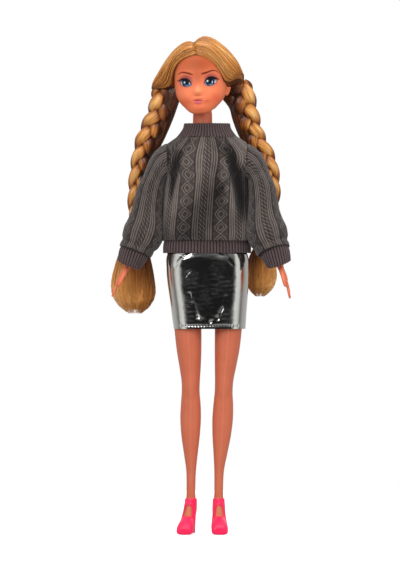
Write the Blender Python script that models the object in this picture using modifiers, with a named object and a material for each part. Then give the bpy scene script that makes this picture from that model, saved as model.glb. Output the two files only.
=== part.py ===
# Dressed fashion doll, about 29 cm tall: hollow two-part torso, turning head with two braids,
# arms and legs on pegs and an axle, knitted sweater, foil skirt and ankle-strap shoes.
# Metres, +Z up. The doll faces -Y and stands on the plane z = 0; left and right are the doll's own.
import math

import bmesh
import bpy
from mathutils import Matrix, Vector

MM = 0.001
LEFT = 1
RIGHT = -1
SIDES = ((LEFT, "left"), (RIGHT, "right"))

# Fits
GAP = 0.3 * MM
RUNNING_GAP = 0.5 * MM
OVERRUN = 20 * MM

# Where the body's own middle plane stands, so that the posed doll's box is centred on the origin
STANCE_X = 3.5 * MM
STANCE_Y = 0.6 * MM

# Heights that the body hangs on
HIP_HEIGHT = 153 * MM
TRUNK_LENGTH = 64 * MM
NECK_LENGTH = 30 * MM
NECK_LEAN = -2.6 * MM
SHOULDER_HEIGHT = HIP_HEIGHT + TRUNK_LENGTH
NECK_TOP = SHOULDER_HEIGHT + NECK_LENGTH

# Torso
SHOULDER_HALF_WIDTH = 18.3 * MM
CHEST_FRONT = 14.5 * MM
BACK_DEPTH = 10 * MM
TORSO_WALL = 1.8 * MM
NECK_RADIUS = 5.5 * MM
PELVIS_HALF_WIDTH = 6 * MM
PELVIS_RADIUS = 9.4 * MM
PELVIS_OVERLAP = 2.1 * MM
PELVIS_STEPS = 12
TORSO_SIDES = 18
# Room between the legs' tops and the trunk's lower edge
HIP_CLEARANCE = 1.15 * MM
# height share from the trunk's lower edge to the shoulders, half width, front and back shares
TORSO_SHARES = (
    (0.0000, 0.90, 0.66, 1.00),
    (0.0625, 0.95, 0.68, 1.02),
    (0.1947, 0.85, 0.62, 0.95),
    (0.3390, 0.67, 0.55, 0.80),
    (0.4952, 0.74, 0.64, 0.82),
    (0.6394, 0.86, 0.86, 0.88),
    (0.7596, 0.94, 1.00, 0.90),
    (0.8678, 1.04, 0.82, 0.92),
    (0.9639, 1.09, 0.64, 0.88),
    (1.0721, 1.07, 0.52, 0.76),
    (1.1442, 0.80, 0.46, 0.66),
)
# height share of the neck, radius share, lean share
NECK_SHARES = (
    (0.34, 1.60, 0.45),
    (0.44, 1.16, 0.75),
    (0.56, 1.02, 1.00),
    (0.80, 1.00, 1.00),
    (1.00, 0.96, 1.00),
)

# Neck post
POST_STEM_RADIUS = 2.6 * MM
POST_FLANGE_RADIUS = 4 * MM
POST_FLANGE_HEIGHT = 1.8 * MM
POST_KNOB_RADIUS = 5.4 * MM
POST_KNOB_HEIGHT = 6 * MM
POST_GROOVE_RADIUS = 3.3 * MM
# radius share and height share of the knob, from its top
KNOB_SHARES = ((0, 1), (0.5, 0.92), (0.85, 0.65), (1, 0.3), (1, 0))
NECK_BORE_SHARE = 0.5

# Shoulder pegs
PEG_RADIUS = 2.2 * MM
PEG_HEAD_RADIUS = 3.8 * MM
PEG_HEAD_LENGTH = 1.6 * MM
PEG_IN_ARM = 5 * MM

# Hip axle
AXLE_RADIUS = 2 * MM
AXLE_HEAD_RADIUS = 3.6 * MM
AXLE_HEAD_LENGTH = 2 * MM
AXLE_IN_LEG = 5 * MM

# Arms
ARM_REACH = 65 * MM
ARM_RADIUS = 4.2 * MM
SHOULDER_DISC_RADIUS = 6 * MM
HAND_LENGTH = 20.5 * MM
HAND_HALF_WIDTH = 4.1 * MM
HAND_HALF_THICKNESS = 1.9 * MM
THUMB_RADIUS = 1.15 * MM
ARM_SIDES = 12
# outward and forward shares of the reach from shoulder to wrist, and of the hand's own length
ARM_AIM_SHARES = {LEFT: (0.314, 0.230), RIGHT: (0.372, 0.060)}
HAND_AIM_SHARES = {LEFT: (0.36, 0.10), RIGHT: (0.52, 0.06)}
# out, down and radius shares of the shoulder's disc, and tilt in degrees
SHOULDER_DISC_SHARES = (
    (0.00, 0.00, 0.94, 0),
    (0.20, 0.00, 1.00, 0),
    (0.62, 0.12, 1.00, 25),
    (1.00, 0.50, 0.93, 52),
)
# share of the reach along the arm, outward bow share, elbow share, radius share
ARM_SHARES = (
    (0.17, 0.075, 0.00, 0.96),
    (0.27, 0.075, 0.01, 0.94),
    (0.40, 0.045, 0.03, 0.90),
    (0.52, 0.030, 0.045, 0.88),
    (0.66, 0.022, 0.03, 0.84),
    (0.82, 0.010, 0.01, 0.72),
    (1.00, 0.000, 0.00, 0.58),
)
# share of the hand's length, thickness share, width share
HAND_SHARES = (
    (0.16, 1.05, 0.68),
    (0.34, 1.10, 0.98),
    (0.52, 1.00, 1.02),
    (0.70, 0.84, 0.90),
    (0.86, 0.68, 0.72),
    (0.96, 0.50, 0.50),
    (1.00, 0.25, 0.26),
)
# share of the hand's length, forward share and lean share of the thumb's path, then its thickness
THUMB_SHARES = ((0.20, 0.35, 0.0), (0.36, 1.10, 0.3), (0.50, 1.45, 0.5), (0.64, 1.55, 0.4))
THUMB_TAPER_SHARES = (1.15, 1.1, 0.95, 0.6)

# Legs
ANKLE_HEIGHT = 24 * MM
THIGH_CENTRE = 12.6 * MM
THIGH_HALF_WIDTH = 8 * MM
THIGH_HALF_DEPTH = 8.5 * MM
LEG_LEAN = 1.4 * MM
LEG_SIDES = 14
HIP_TOP_RADIUS = 9.6 * MM
# height share from ankle to hip axis, centre share, half width share, front share, back share, lean share
LEG_SHARES = (
    (0.000, 0.645, 0.325, 0.34, 0.36, -0.95),
    (0.040, 0.645, 0.325, 0.33, 0.36, -0.90),
    (0.095, 0.650, 0.355, 0.34, 0.42, -0.80),
    (0.170, 0.685, 0.500, 0.44, 0.58, -0.60),
    (0.265, 0.725, 0.690, 0.58, 0.80, -0.35),
    (0.340, 0.745, 0.756, 0.62, 0.86, -0.15),
    (0.400, 0.755, 0.720, 0.66, 0.78, 0.00),
    (0.455, 0.765, 0.655, 0.72, 0.68, 0.05),
    (0.500, 0.775, 0.670, 0.74, 0.70, 0.15),
    (0.560, 0.815, 0.770, 0.80, 0.80, 0.30),
    (0.640, 0.880, 0.900, 0.90, 0.90, 0.42),
    (0.735, 0.937, 0.987, 0.96, 0.96, 0.45),
    (0.810, 0.975, 1.035, 1.00, 1.00, 0.35),
    (0.870, 1.010, 1.050, 1.03, 1.05, 0.20),
    (0.920, 1.060, 0.990, 1.06, 1.08, 0.05),
)
# height above the hip axis as a share of the top's radius, centre share, half width share
HIP_TOP_SHARES = (
    (-0.55, 1.095, 0.925),
    (0.00, 1.085, 0.905),
    (0.40, 1.050, 0.840),
    (0.70, 0.990, 0.700),
    (0.90, 0.890, 0.420),
)
HIP_DEPTH_SHARE = 1.1

# Feet, raised at the heel
HEEL_RISE = 12 * MM
FOOT_LENGTH = 19 * MM
FOOT_HALF_WIDTH = 4.2 * MM
FOOT_HALF_HEIGHT = 3.6 * MM
SOLE_THICKNESS = 1.1 * MM
FOOT_TURN_DEGREES = {LEFT: 2, RIGHT: 12}
# forward share of the length, height share of the ankle, pitch degrees, half width share, half height share
FOOT_SHARES = (
    (-0.01, 0.80, 12, 0.70, 0.88),
    (0.06, 0.62, 38, 0.76, 1.32),
    (0.27, 0.44, 52, 0.80, 1.08),
    (0.50, 0.245, 66, 0.96, 0.84),
    (0.68, 0.165, 84, 1.02, 0.60),
    (0.84, 0.135, 90, 0.94, 0.46),
    (0.95, 0.120, 90, 0.66, 0.34),
)

# Head, measured upright above the neck's top
HEAD_TURN_DEGREES = -7
HEAD_ROLL_DEGREES = -4
HEAD_SEAT = 0.9 * MM
HEAD_HEIGHT = 37.5 * MM
HEAD_HALF_WIDTH = 15.3 * MM
HEAD_FRONT = 15.9 * MM
HEAD_BACK = 17 * MM
HEAD_WALL = 2.2 * MM
CHIN_DROP = 3.2 * MM
NOSE_LENGTH = 1.7 * MM
NOSE_HEIGHT_SHARE = 0.285
NOSE_SPREAD_SHARE = 0.06
NOSE_WIDTH_SHARE = 0.14
EAR_RADIUS = 4.6 * MM
EAR_THICKNESS = 1.5 * MM
EAR_HEIGHT_SHARE = 0.36
EAR_WIDTH_SHARE = 0.62
EAR_SINK_SHARE = 0.33
EAR_BACK_SHARE = 0.10
EAR_FLARE_DEGREES = 18
HEAD_SIDES = 22
# height share above which the head's rings also rise as they grow
CROWN_SHARE = 0.9
# chin rows: drop share, half width share, front share, back share
CHIN_SHARES = (
    (1.00, 0.17, 0.87, -0.66),
    (0.62, 0.37, 0.94, -0.50),
    (0.00, 0.50, 0.975, -0.42),
)
# head rows: height share, half width share, front share, back share
HEAD_SHARES = (
    (0.000, 0.510, 0.98, 0.38),
    (0.065, 0.720, 1.00, 0.54),
    (0.140, 0.862, 1.00, 0.66),
    (0.230, 0.948, 0.99, 0.76),
    (0.325, 0.987, 0.965, 0.86),
    (0.460, 1.000, 0.945, 0.95),
    (0.595, 1.000, 0.930, 1.00),
    (0.730, 0.950, 0.880, 1.00),
    (0.840, 0.836, 0.770, 0.91),
    (0.920, 0.630, 0.600, 0.74),
    (0.972, 0.380, 0.380, 0.48),
    (1.000, 0.145, 0.165, 0.24),
)

# Hair
HAIR_DEPTH = 2.9 * MM
HAIR_TOP = 5 * MM
HAIR_SWEEP = 12.5 * MM
HAIR_LOCK = 4.3 * MM
HAIR_DEPTH_SHARES = (0.35, 1.0)
HAIRLINE_BACK_SHARE = 0.16
HAIR_SIDES = 18
# half width share and height share of the head, along the hairline from the parting down
HAIRLINE_SHARES = (
    (0.00, 0.848),
    (0.20, 0.840),
    (0.39, 0.812),
    (0.62, 0.755),
    (0.80, 0.690),
    (0.93, 0.580),
    (1.01, 0.440),
    (1.04, 0.300),
    (1.04, -0.30),
)
# the combed side: outward share, back share, height share, sweep share, lock share
SWEEP_SHARES = (
    (0.34, -0.06, 0.955, 0.80, 0.60),
    (0.75, -0.06, 0.865, 0.98, 0.95),
    (1.08, 0.00, 0.715, 0.92, 1.00),
    (1.34, 0.09, 0.555, 0.70, 1.00),
    (1.52, 0.17, 0.405, 0.45, 0.98),
)

# Braids, ties and tails
BRAID_HALF_WIDTH = 7.2 * MM
BRAID_HALF_DEPTH = 4.9 * MM
BRAID_TURN = 11.5 * MM
BRAID_LOBE_SHARE = 0.13
BRAID_LOBE_FADE = 3
BRAID_DEPTH_SHARE = 1.15
BRAID_SIDES = 10
BRAID_STEPS = 26
# height share of the head where the braids start below the combed sides
KNOT_SHARE = 0.376
# places of the braid down to its tie: out as a share of the head's half width, back as a share of its
# depth behind the neck, and up as a share of the drop from the knot to the tie
BRAID_PLACE_SHARES = {
    LEFT: (
        (1.324, 0.238, 1.030),
        (1.371, 0.286, 0.963),
        (1.414, 0.405, 0.869),
        (1.530, 0.548, 0.783),
        (1.641, 0.691, 0.696),
        (1.869, 0.834, 0.602),
        (2.096, 0.929, 0.530),
        (2.319, 0.977, 0.443),
        (2.451, 1.001, 0.321),
        (2.483, 1.001, 0.198),
        (2.451, 0.977, 0.086),
        (2.388, 0.953, 0.000),
    ),
    RIGHT: (
        (1.774, 0.238, 0.990),
        (1.705, 0.310, 0.900),
        (1.826, 0.476, 0.790),
        (2.144, 0.715, 0.672),
        (2.345, 0.834, 0.575),
        (2.520, 0.929, 0.458),
        (2.642, 0.977, 0.321),
        (2.711, 1.001, 0.205),
        (2.742, 1.001, 0.086),
        (2.711, 0.977, 0.000),
    ),
}
# share along the braid, width share
BRAID_TAPER_SHARES = (
    (0.00, 0.66),
    (0.12, 0.96),
    (0.30, 1.00),
    (0.55, 0.84),
    (0.80, 0.70),
    (0.94, 0.60),
    (1.00, 0.44),
)
TIE_RADIUS = 3.3 * MM
TIE_THICKNESS = 1 * MM
TAIL_LENGTH = 50 * MM
TAIL_HALF_WIDTH = 13 * MM
TAIL_HALF_DEPTH = 6 * MM
TAIL_SIDES = 12
TAIL_LEAN_SHARE = 0.04
TAIL_SIZE_SHARES = {LEFT: (0.82, 0.76), RIGHT: (1.0, 1.0)}
# share down the tail, outward share of its length, width share, depth share
TAIL_SHARES = (
    (0.00, 0.000, 0.20, 0.42),
    (0.08, 0.008, 0.34, 0.62),
    (0.22, 0.020, 0.50, 0.80),
    (0.40, 0.034, 0.72, 0.95),
    (0.58, 0.040, 0.92, 1.00),
    (0.74, 0.036, 1.00, 0.94),
    (0.86, 0.028, 0.90, 0.80),
    (0.95, 0.020, 0.60, 0.55),
    (1.00, 0.016, 0.28, 0.28),
)

# Sweater
KNIT_THICKNESS = 0.9 * MM
SWEATER_EASE = 1.3 * MM
SWEATER_SIDE = 4.7 * MM
ARMHOLE_RADIUS = 11.4 * MM
SWEATER_TOP = 14.7 * MM
HEM_RISE = 10.7 * MM
HEM_BAND = 6.7 * MM
COLLAR_BAND = 7.4 * MM
CLOSURE_SLIT = 0.6 * MM
CLOSURE_WIDTH = 5 * MM
CLOSURE_THICKNESS = 0.8 * MM
SWEATER_SIDES = 26
ARMHOLE_PLANE = SHOULDER_HALF_WIDTH + SWEATER_SIDE
SWEATER_FRONT = CHEST_FRONT + SWEATER_EASE + KNIT_THICKNESS
SWEATER_BACK = BACK_DEPTH + 2 * SWEATER_EASE + 2 * KNIT_THICKNESS
# height share from the hem band to the top, half width share of the armhole plane, front share, back share
SWEATER_SHARES = (
    (0.000, 1.110, 0.935, 1.020),
    (0.050, 1.128, 0.975, 1.060),
    (0.130, 1.100, 0.960, 1.045),
    (0.280, 1.015, 0.925, 0.990),
    (0.440, 0.960, 0.960, 0.965),
    (0.572, 1.000, 0.985, 0.955),
    (0.611, 1.088, 0.975, 0.950),
    (0.677, 1.280, 0.940, 0.940),
    (0.759, 1.420, 0.895, 0.920),
    (0.841, 1.360, 0.840, 0.895),
    (0.907, 1.136, 0.790, 0.870),
    (0.946, 0.985, 0.755, 0.850),
    (1.000, 0.760, 0.715, 0.820),
)
COLLAR_SHARES = (
    (0.00, 0.770, 0.720, 0.825),
    (0.30, 0.690, 0.665, 0.765),
    (0.65, 0.615, 0.615, 0.705),
    (1.00, 0.587, 0.590, 0.680),
)
HEM_SHARES = (
    (0.0, 1.120, 0.870, 0.960),
    (0.5, 1.118, 0.865, 0.955),
    (1.0, 1.090, 0.880, 0.965),
)

# Sleeves and cuffs
SLEEVE_RADIUS = 10.2 * MM
SLEEVE_PUFF = 2.6 * MM
CUFF_LENGTH = 8.2 * MM
SLEEVE_SIDES = 16
# out, down, half height and half depth shares of the armhole's radius, and tilt in degrees
SLEEVE_CAP_SHARES = (
    (0.00, 0.00, 1.00, 1.00, 0),
    (0.21, 0.09, 0.95, 1.00, 12),
    (0.37, 0.25, 0.855, 0.99, 24),
    (0.52, 0.55, 0.715, 0.97, 44),
)
# share of the reach along the sleeve, puff share, half width share, half depth share
SLEEVE_SHARES = (
    (0.17, 1.88, 0.680, 1.030),
    (0.28, 1.75, 0.820, 0.985),
    (0.40, 1.20, 0.850, 0.960),
    (0.50, 0.60, 0.905, 0.945),
    (0.60, 0.30, 0.935, 0.980),
    (0.70, 0.02, 1.010, 1.020),
    (0.785, -0.12, 1.000, 1.000),
)
CUFF_START_SHARE = 0.865
CUFF_PUFF_SHARES = (-0.10, -0.05)
CUFF_RADIUS_SHARES = (0.855, 0.745)
SLEEVE_END_SHARE = 1.06

# Skirt
FOIL_THICKNESS = 0.45 * MM
SKIRT_LENGTH = 50 * MM
SKIRT_HALF_WIDTH = 24.2 * MM
SKIRT_HALF_DEPTH = 13 * MM
SKIRT_SHIFT = 0.8 * MM
WAISTBAND_HEIGHT = 5.5 * MM
WAISTBAND_THICKNESS = 1.2 * MM
SKIRT_SIDES = 32
SKIRT_SQUARENESS = 2.6
SKIRT_RIPPLE = 0.22 * MM
SKIRT_RIPPLES = 9
HEM_BOTTOM = HIP_HEIGHT + HEM_RISE
SKIRT_TOP = HIP_HEIGHT + HEM_RISE + HEM_BAND - 2 * RUNNING_GAP
# share down the skirt, half width share, depth share, shift share
SKIRT_SHARES = (
    (0.000, 0.800, 0.880, 0.0),
    (0.060, 0.905, 0.945, 0.0),
    (0.150, 0.985, 0.990, 0.1),
    (0.300, 1.000, 1.000, 0.3),
    (0.650, 0.942, 0.965, 0.6),
    (1.000, 0.868, 0.925, 1.0),
)

# Shoes
SHOE_WALL = 0.9 * MM
STRAP_BOTTOM = 15.8 * MM
STRAP_TOP = 20.4 * MM
THROAT_HEIGHT = 9.6 * MM
HEEL_HALF_WIDTH = 2.3 * MM
HEEL_DEPTH = 4.4 * MM
HEEL_BACK_SHARE = 0.30
HEEL_SPREAD_SHARES = (0.78, 0.84, 1.0)
TREAD_SQUARENESS = 2.67
TREAD_FORWARD_SHARE = 0.73
TREAD_HALF_LENGTH_SHARE = 0.30
WINDOW_BACK_SHARE = 0.20
THROAT_FORWARD_SHARE = 0.50
# forward share of the foot and height share of the ankle, along the opening's lower edge
WINDOW_SHARES = ((0.22, 0.36), (0.52, 0.20))
SHOE_SIDES = 14

SKIN = ("skin", (0.80, 0.42, 0.27), 0.0, 0.45)
FACE_SKIN = ("face_skin", (0.80, 0.40, 0.26), 0.0, 0.42)
HAIR = ("hair", (0.62, 0.38, 0.12), 0.0, 0.42)
ELASTIC = ("hair_tie_rubber", (0.55, 0.36, 0.15), 0.0, 0.5)
KNIT = ("knit", (0.115, 0.09, 0.088), 0.0, 0.9)
HOOK_TAPE = ("hook_tape", (0.08, 0.07, 0.07), 0.0, 0.8)
FOIL = ("silver_foil", (0.72, 0.72, 0.72), 1.0, 0.16)
HARD_PLASTIC = ("post_plastic", (0.75, 0.72, 0.66), 0.0, 0.4)
STEEL = ("axle_steel", (0.55, 0.55, 0.55), 1.0, 0.3)
SHOE_VINYL = ("shoe_vinyl", (1.0, 0.03, 0.13), 0.0, 0.35)


def clear_scene():
    for item in list(bpy.data.objects):
        bpy.data.objects.remove(item, do_unlink=True)


def add_collection(name):
    collection = bpy.data.collections.new(name)
    bpy.context.scene.collection.children.link(collection)
    return collection


def material_for(kind):
    name, colour, metallic, roughness = kind
    found = bpy.data.materials.get(name)
    if found:
        return found
    material = bpy.data.materials.new(name)
    material.use_nodes = True
    shader = material.node_tree.nodes["Principled BSDF"]
    shader.inputs["Base Color"].default_value = (*colour, 1)
    shader.inputs["Metallic"].default_value = metallic
    shader.inputs["Roughness"].default_value = roughness
    material.diffuse_color = (*colour, 1)
    return material


# Rings: closed outlines that the lofted pieces run through


def squared(value, squareness):
    return math.copysign(abs(value) ** (2 / squareness), value)


def flat_ring(centre, half_width, front, back, count, squareness=2):
    """A level oval, fuller at its corners where squareness is over 2."""
    points = []
    for step in range(count):
        angle = 2 * math.pi * step / count
        depth = back if math.sin(angle) > 0 else front
        across = half_width * squared(math.cos(angle), squareness)
        points.append(centre + Vector((across, depth * squared(math.sin(angle), squareness), 0)))
    return points


def span_ring(middle_x, height, half_width, front, back, count):
    """A level oval from y = -front to y = back, which may both lie on one side of the middle."""
    centre = Vector((middle_x, (back - front) / 2, height))
    half_depth = (back + front) / 2
    return flat_ring(centre, half_width, half_depth, half_depth, count)


def limb_ring(centre, direction, half_width, half_depth, count):
    """An oval square to the direction, its width as near to X as it can be."""
    along = direction.normalized()
    across = (Vector((1, 0, 0)) - along * along.x).normalized()
    forward = across.cross(along)
    points = []
    for step in range(count):
        angle = 2 * math.pi * step / count
        points.append(centre + across * (half_width * math.cos(angle)) + forward * (half_depth * math.sin(angle)))
    return points


def disc_ring(centre, half_height, half_depth, count, tilt=0.0):
    """An oval facing X, tipped by tilt towards Z, whose first point matches limb_ring's."""
    points = []
    out = Vector((math.sin(tilt), 0, math.cos(tilt)))
    for step in range(count):
        angle = 2 * math.pi * step / count
        points.append(centre + out * (half_height * math.cos(angle)) + Vector((0, half_depth * math.sin(angle), 0)))
    return points


def blend_shares(rows, share, column):
    """The value in that column at a share, read smoothly between the table's rows."""
    for low, high in zip(rows, rows[1:]):
        if share <= high[0]:
            part = max(0.0, (share - low[0]) / (high[0] - low[0]))
            smooth = part * part * (3 - 2 * part)
            return low[column] + (high[column] - low[column]) * smooth
    return rows[-1][column]


# Meshes


def loft_mesh(name, rings, looped=False):
    shape = bmesh.new()
    rows = [[shape.verts.new(point) for point in ring] for ring in rings]
    count = len(rings[0])
    pairs = list(zip(rows, rows[1:]))
    if looped:
        pairs.append((rows[-1], rows[0]))
    for lower, upper in pairs:
        for step in range(count):
            after = (step + 1) % count
            shape.faces.new((lower[step], lower[after], upper[after], upper[step]))
    if not looped:
        shape.faces.new(list(reversed(rows[0])))
        shape.faces.new(rows[-1])
    bmesh.ops.recalc_face_normals(shape, faces=shape.faces[:])
    mesh = bpy.data.meshes.new(name)
    shape.to_mesh(mesh)
    shape.free()
    return mesh


def smooth_shading(mesh):
    mesh.shade_smooth()
    mesh.set_sharp_from_angle(angle=math.radians(40))


def add_piece(name, mesh, kind, pivot, collection):
    """A visible piece, its mesh moved into the frame of the pivot that carries it."""
    mesh.transform(Matrix.Translation(-Vector(pivot["place"])))
    smooth_shading(mesh)
    mesh.materials.clear()
    mesh.materials.append(material_for(kind))
    piece = bpy.data.objects.new(name, mesh)
    piece.parent = pivot
    collection.objects.link(piece)
    return piece


def add_cutter(name, mesh, pivot, collection):
    mesh.transform(Matrix.Translation(-Vector(pivot["place"])))
    cutter = bpy.data.objects.new(name, mesh)
    cutter.parent = pivot
    cutter.hide_render = True
    cutter.display_type = "WIRE"
    collection.objects.link(cutter)
    return cutter


def combine(target, tool, operation):
    modifier = target.modifiers.new(operation.lower() + " " + tool.name, "BOOLEAN")
    modifier.operation = operation
    modifier.object = tool


def box_mesh(name, low, high):
    shape = bmesh.new()
    bmesh.ops.create_cube(shape, size=1)
    size = high - low
    matrix = Matrix.Translation((low + high) / 2) @ Matrix.Diagonal((size.x, size.y, size.z, 1))
    bmesh.ops.transform(shape, matrix=matrix, verts=shape.verts[:])
    mesh = bpy.data.meshes.new(name)
    shape.to_mesh(mesh)
    shape.free()
    return mesh


def rod_mesh(name, start, end, radius, sides=16):
    shape = bmesh.new()
    run = end - start
    bmesh.ops.create_cone(
        shape, cap_ends=True, segments=sides, radius1=radius, radius2=radius, depth=run.length
    )
    half_side = Matrix.Rotation(math.pi / sides, 4, "Z")
    matrix = Matrix.Translation((start + end) / 2) @ run.to_track_quat("Z", "Y").to_matrix().to_4x4() @ half_side
    bmesh.ops.transform(shape, matrix=matrix, verts=shape.verts[:])
    mesh = bpy.data.meshes.new(name)
    shape.to_mesh(mesh)
    shape.free()
    return mesh


def ball_mesh(name, centre, radii, turn):
    shape = bmesh.new()
    bmesh.ops.create_uvsphere(shape, u_segments=14, v_segments=9, radius=1)
    matrix = Matrix.Translation(centre) @ turn @ Matrix.Diagonal((*radii, 1))
    bmesh.ops.transform(shape, matrix=matrix, verts=shape.verts[:])
    mesh = bpy.data.meshes.new(name)
    shape.to_mesh(mesh)
    shape.free()
    return mesh


def prism_mesh(name, outline, low, high, axis):
    """A flat outline pushed from low to high along an axis; its points are the other two coordinates."""
    rings = []
    for level in (low, high):
        ring = []
        for first, second in outline:
            point = (level, first, second) if axis == "X" else (first, level, second)
            ring.append(Vector(point))
        rings.append(ring)
    return loft_mesh(name, rings)


def turned_mesh(name, profile, centre_x, sides=20):
    """A turned shape about the vertical through centre_x, from radius and height pairs, top to bottom."""
    outline = bpy.data.meshes.new(name + " profile")
    points = [(radius, 0, height) for radius, height in profile]
    outline.from_pydata(points, [(n, n + 1) for n in range(len(points) - 1)], [])
    turned = bpy.data.objects.new(name + " profile", outline)
    bpy.context.scene.collection.objects.link(turned)
    screw = turned.modifiers.new("turn", "SCREW")
    screw.steps = sides
    screw.render_steps = sides
    screw.use_merge_vertices = True
    screw.merge_threshold = 0.00001
    bpy.context.view_layer.update()
    evaluated = turned.evaluated_get(bpy.context.evaluated_depsgraph_get())
    mesh = bpy.data.meshes.new_from_object(evaluated)
    bpy.data.objects.remove(turned, do_unlink=True)
    mesh.transform(Matrix.Translation((centre_x, 0, 0)))
    shape = bmesh.new()
    shape.from_mesh(mesh)
    bmesh.ops.recalc_face_normals(shape, faces=shape.faces[:])
    shape.to_mesh(mesh)
    shape.free()
    return mesh


# Pivots: empties on the joint axes that carry the moving pieces


def add_pivot(name, place, parent, collection, rotation=(0, 0, 0)):
    pivot = bpy.data.objects.new(name, None)
    above = Vector(parent["place"]) if parent else Vector((0, 0, 0))
    pivot.location = place - above
    pivot.rotation_euler = rotation
    pivot.empty_display_size = HAND_LENGTH
    pivot["place"] = tuple(place)
    if parent:
        pivot.parent = parent
    collection.objects.link(pivot)
    return pivot


def shoulder_place(side):
    return Vector((side * SHOULDER_HALF_WIDTH, 0, SHOULDER_HEIGHT))


def hip_place(side):
    return Vector((side * PELVIS_HALF_WIDTH, 0, HIP_HEIGHT))


def neck_place():
    return Vector((NECK_LEAN, 0, NECK_TOP))


# Torso


def trunk_bottom():
    return HIP_HEIGHT + HIP_TOP_RADIUS + HIP_CLEARANCE


def torso_rings(inset):
    rings = []
    for height, width, front, back in TORSO_SHARES:
        level = trunk_bottom() + height * (SHOULDER_HEIGHT - trunk_bottom())
        rings.append(
            flat_ring(
                Vector((0, 0, level)),
                width * SHOULDER_HALF_WIDTH - inset,
                front * CHEST_FRONT - inset,
                back * BACK_DEPTH - inset,
                TORSO_SIDES,
            )
        )
    return rings


def neck_rings():
    rings = []
    for height, radius, lean in NECK_SHARES:
        centre = Vector((lean * NECK_LEAN, 0, SHOULDER_HEIGHT + height * NECK_LENGTH))
        size = radius * NECK_RADIUS
        rings.append(flat_ring(centre, size, size, size, TORSO_SIDES))
    return rings


def hollow_rings():
    """The torso's inside, from above the pelvis up to the shoulders, one wall in from the outside."""
    rings = torso_rings(TORSO_WALL)[1:-1]
    for ring in rings:
        for point in ring:
            point.x = max(-SHOULDER_HALF_WIDTH + TORSO_WALL, min(SHOULDER_HALF_WIDTH - TORSO_WALL, point.x))
    return rings


def pelvis_outline():
    """Side view of the saddle between the legs: round below the hip axis, straight up into the torso."""
    points = []
    for step in range(PELVIS_STEPS + 1):
        angle = math.pi * step / PELVIS_STEPS
        points.append((-PELVIS_RADIUS * math.cos(angle), HIP_HEIGHT - PELVIS_RADIUS * math.sin(angle)))
    top = trunk_bottom() + PELVIS_OVERLAP
    return points + [(PELVIS_RADIUS, top), (-PELVIS_RADIUS, top)]


def torso_half(name, front, pivot, pieces, cutters):
    half = add_piece(name, loft_mesh(name, torso_rings(0) + neck_rings()), SKIN, pivot, pieces)
    axis_start = Vector((-PELVIS_HALF_WIDTH, 0, HIP_HEIGHT))
    axis_end = Vector((PELVIS_HALF_WIDTH, 0, HIP_HEIGHT))
    pelvis = prism_mesh("pelvis", pelvis_outline(), -PELVIS_HALF_WIDTH, PELVIS_HALF_WIDTH, "X")
    combine(half, add_cutter(name + " pelvis", pelvis, pivot, cutters), "UNION")
    for side, word in SIDES:
        outer = side * (SHOULDER_HALF_WIDTH + OVERRUN)
        flat = side * SHOULDER_HALF_WIDTH
        low = Vector((min(outer, flat), -OVERRUN, HIP_HEIGHT))
        high = Vector((max(outer, flat), OVERRUN, NECK_TOP))
        combine(half, add_cutter(name + " flat " + word, box_mesh("flat", low, high), pivot, cutters), "DIFFERENCE")
        inner = Vector((side * SHOULDER_HALF_WIDTH / 2, 0, SHOULDER_HEIGHT))
        bore = rod_mesh("bore", inner, Vector((outer, 0, SHOULDER_HEIGHT)), PEG_RADIUS + GAP)
        combine(half, add_cutter(name + " peg bore " + word, bore, pivot, cutters), "DIFFERENCE")
        deep = shoulder_place(side) - Vector((side * (TORSO_WALL + PEG_HEAD_LENGTH + 3 * GAP), 0, 0))
        shallow = shoulder_place(side) - Vector((side * (TORSO_WALL - GAP / 2), 0, 0))
        pocket = rod_mesh("peg pocket", deep, shallow, PEG_HEAD_RADIUS + GAP)
        combine(half, add_cutter(name + " peg pocket " + word, pocket, pivot, cutters), "DIFFERENCE")
    combine(half, add_cutter(name + " hollow", loft_mesh("hollow", hollow_rings()), pivot, cutters), "DIFFERENCE")
    bore_bottom = Vector((NECK_LEAN, 0, post_flange_bottom() - GAP))
    bore_top = Vector((NECK_LEAN, 0, NECK_TOP + OVERRUN))
    stem_bore = rod_mesh("stem bore", bore_bottom, bore_top, POST_STEM_RADIUS + GAP)
    combine(half, add_cutter(name + " stem bore", stem_bore, pivot, cutters), "DIFFERENCE")
    flange_top = Vector((NECK_LEAN, 0, post_flange_bottom() + POST_FLANGE_HEIGHT + GAP))
    pocket = rod_mesh("pocket", bore_bottom, flange_top, POST_FLANGE_RADIUS + GAP)
    combine(half, add_cutter(name + " flange pocket", pocket, pivot, cutters), "DIFFERENCE")
    axle_run = Vector((PELVIS_HALF_WIDTH + OVERRUN, 0, 0))
    axle_bore = rod_mesh("axle bore", axis_start - axle_run, axis_end + axle_run, AXLE_RADIUS + GAP)
    combine(half, add_cutter(name + " axle bore", axle_bore, pivot, cutters), "DIFFERENCE")
    seam = GAP / 2
    width = 2 * SHOULDER_HALF_WIDTH
    if front:
        low = Vector((-width, -seam, 0))
        high = Vector((width, OVERRUN + BACK_DEPTH, NECK_TOP + OVERRUN))
    else:
        low = Vector((-width, -OVERRUN - CHEST_FRONT, 0))
        high = Vector((width, seam, NECK_TOP + OVERRUN))
    combine(half, add_cutter(name + " seam", box_mesh("seam", low, high), pivot, cutters), "DIFFERENCE")


def post_flange_bottom():
    return SHOULDER_HEIGHT + NECK_BORE_SHARE * NECK_LENGTH


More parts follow.
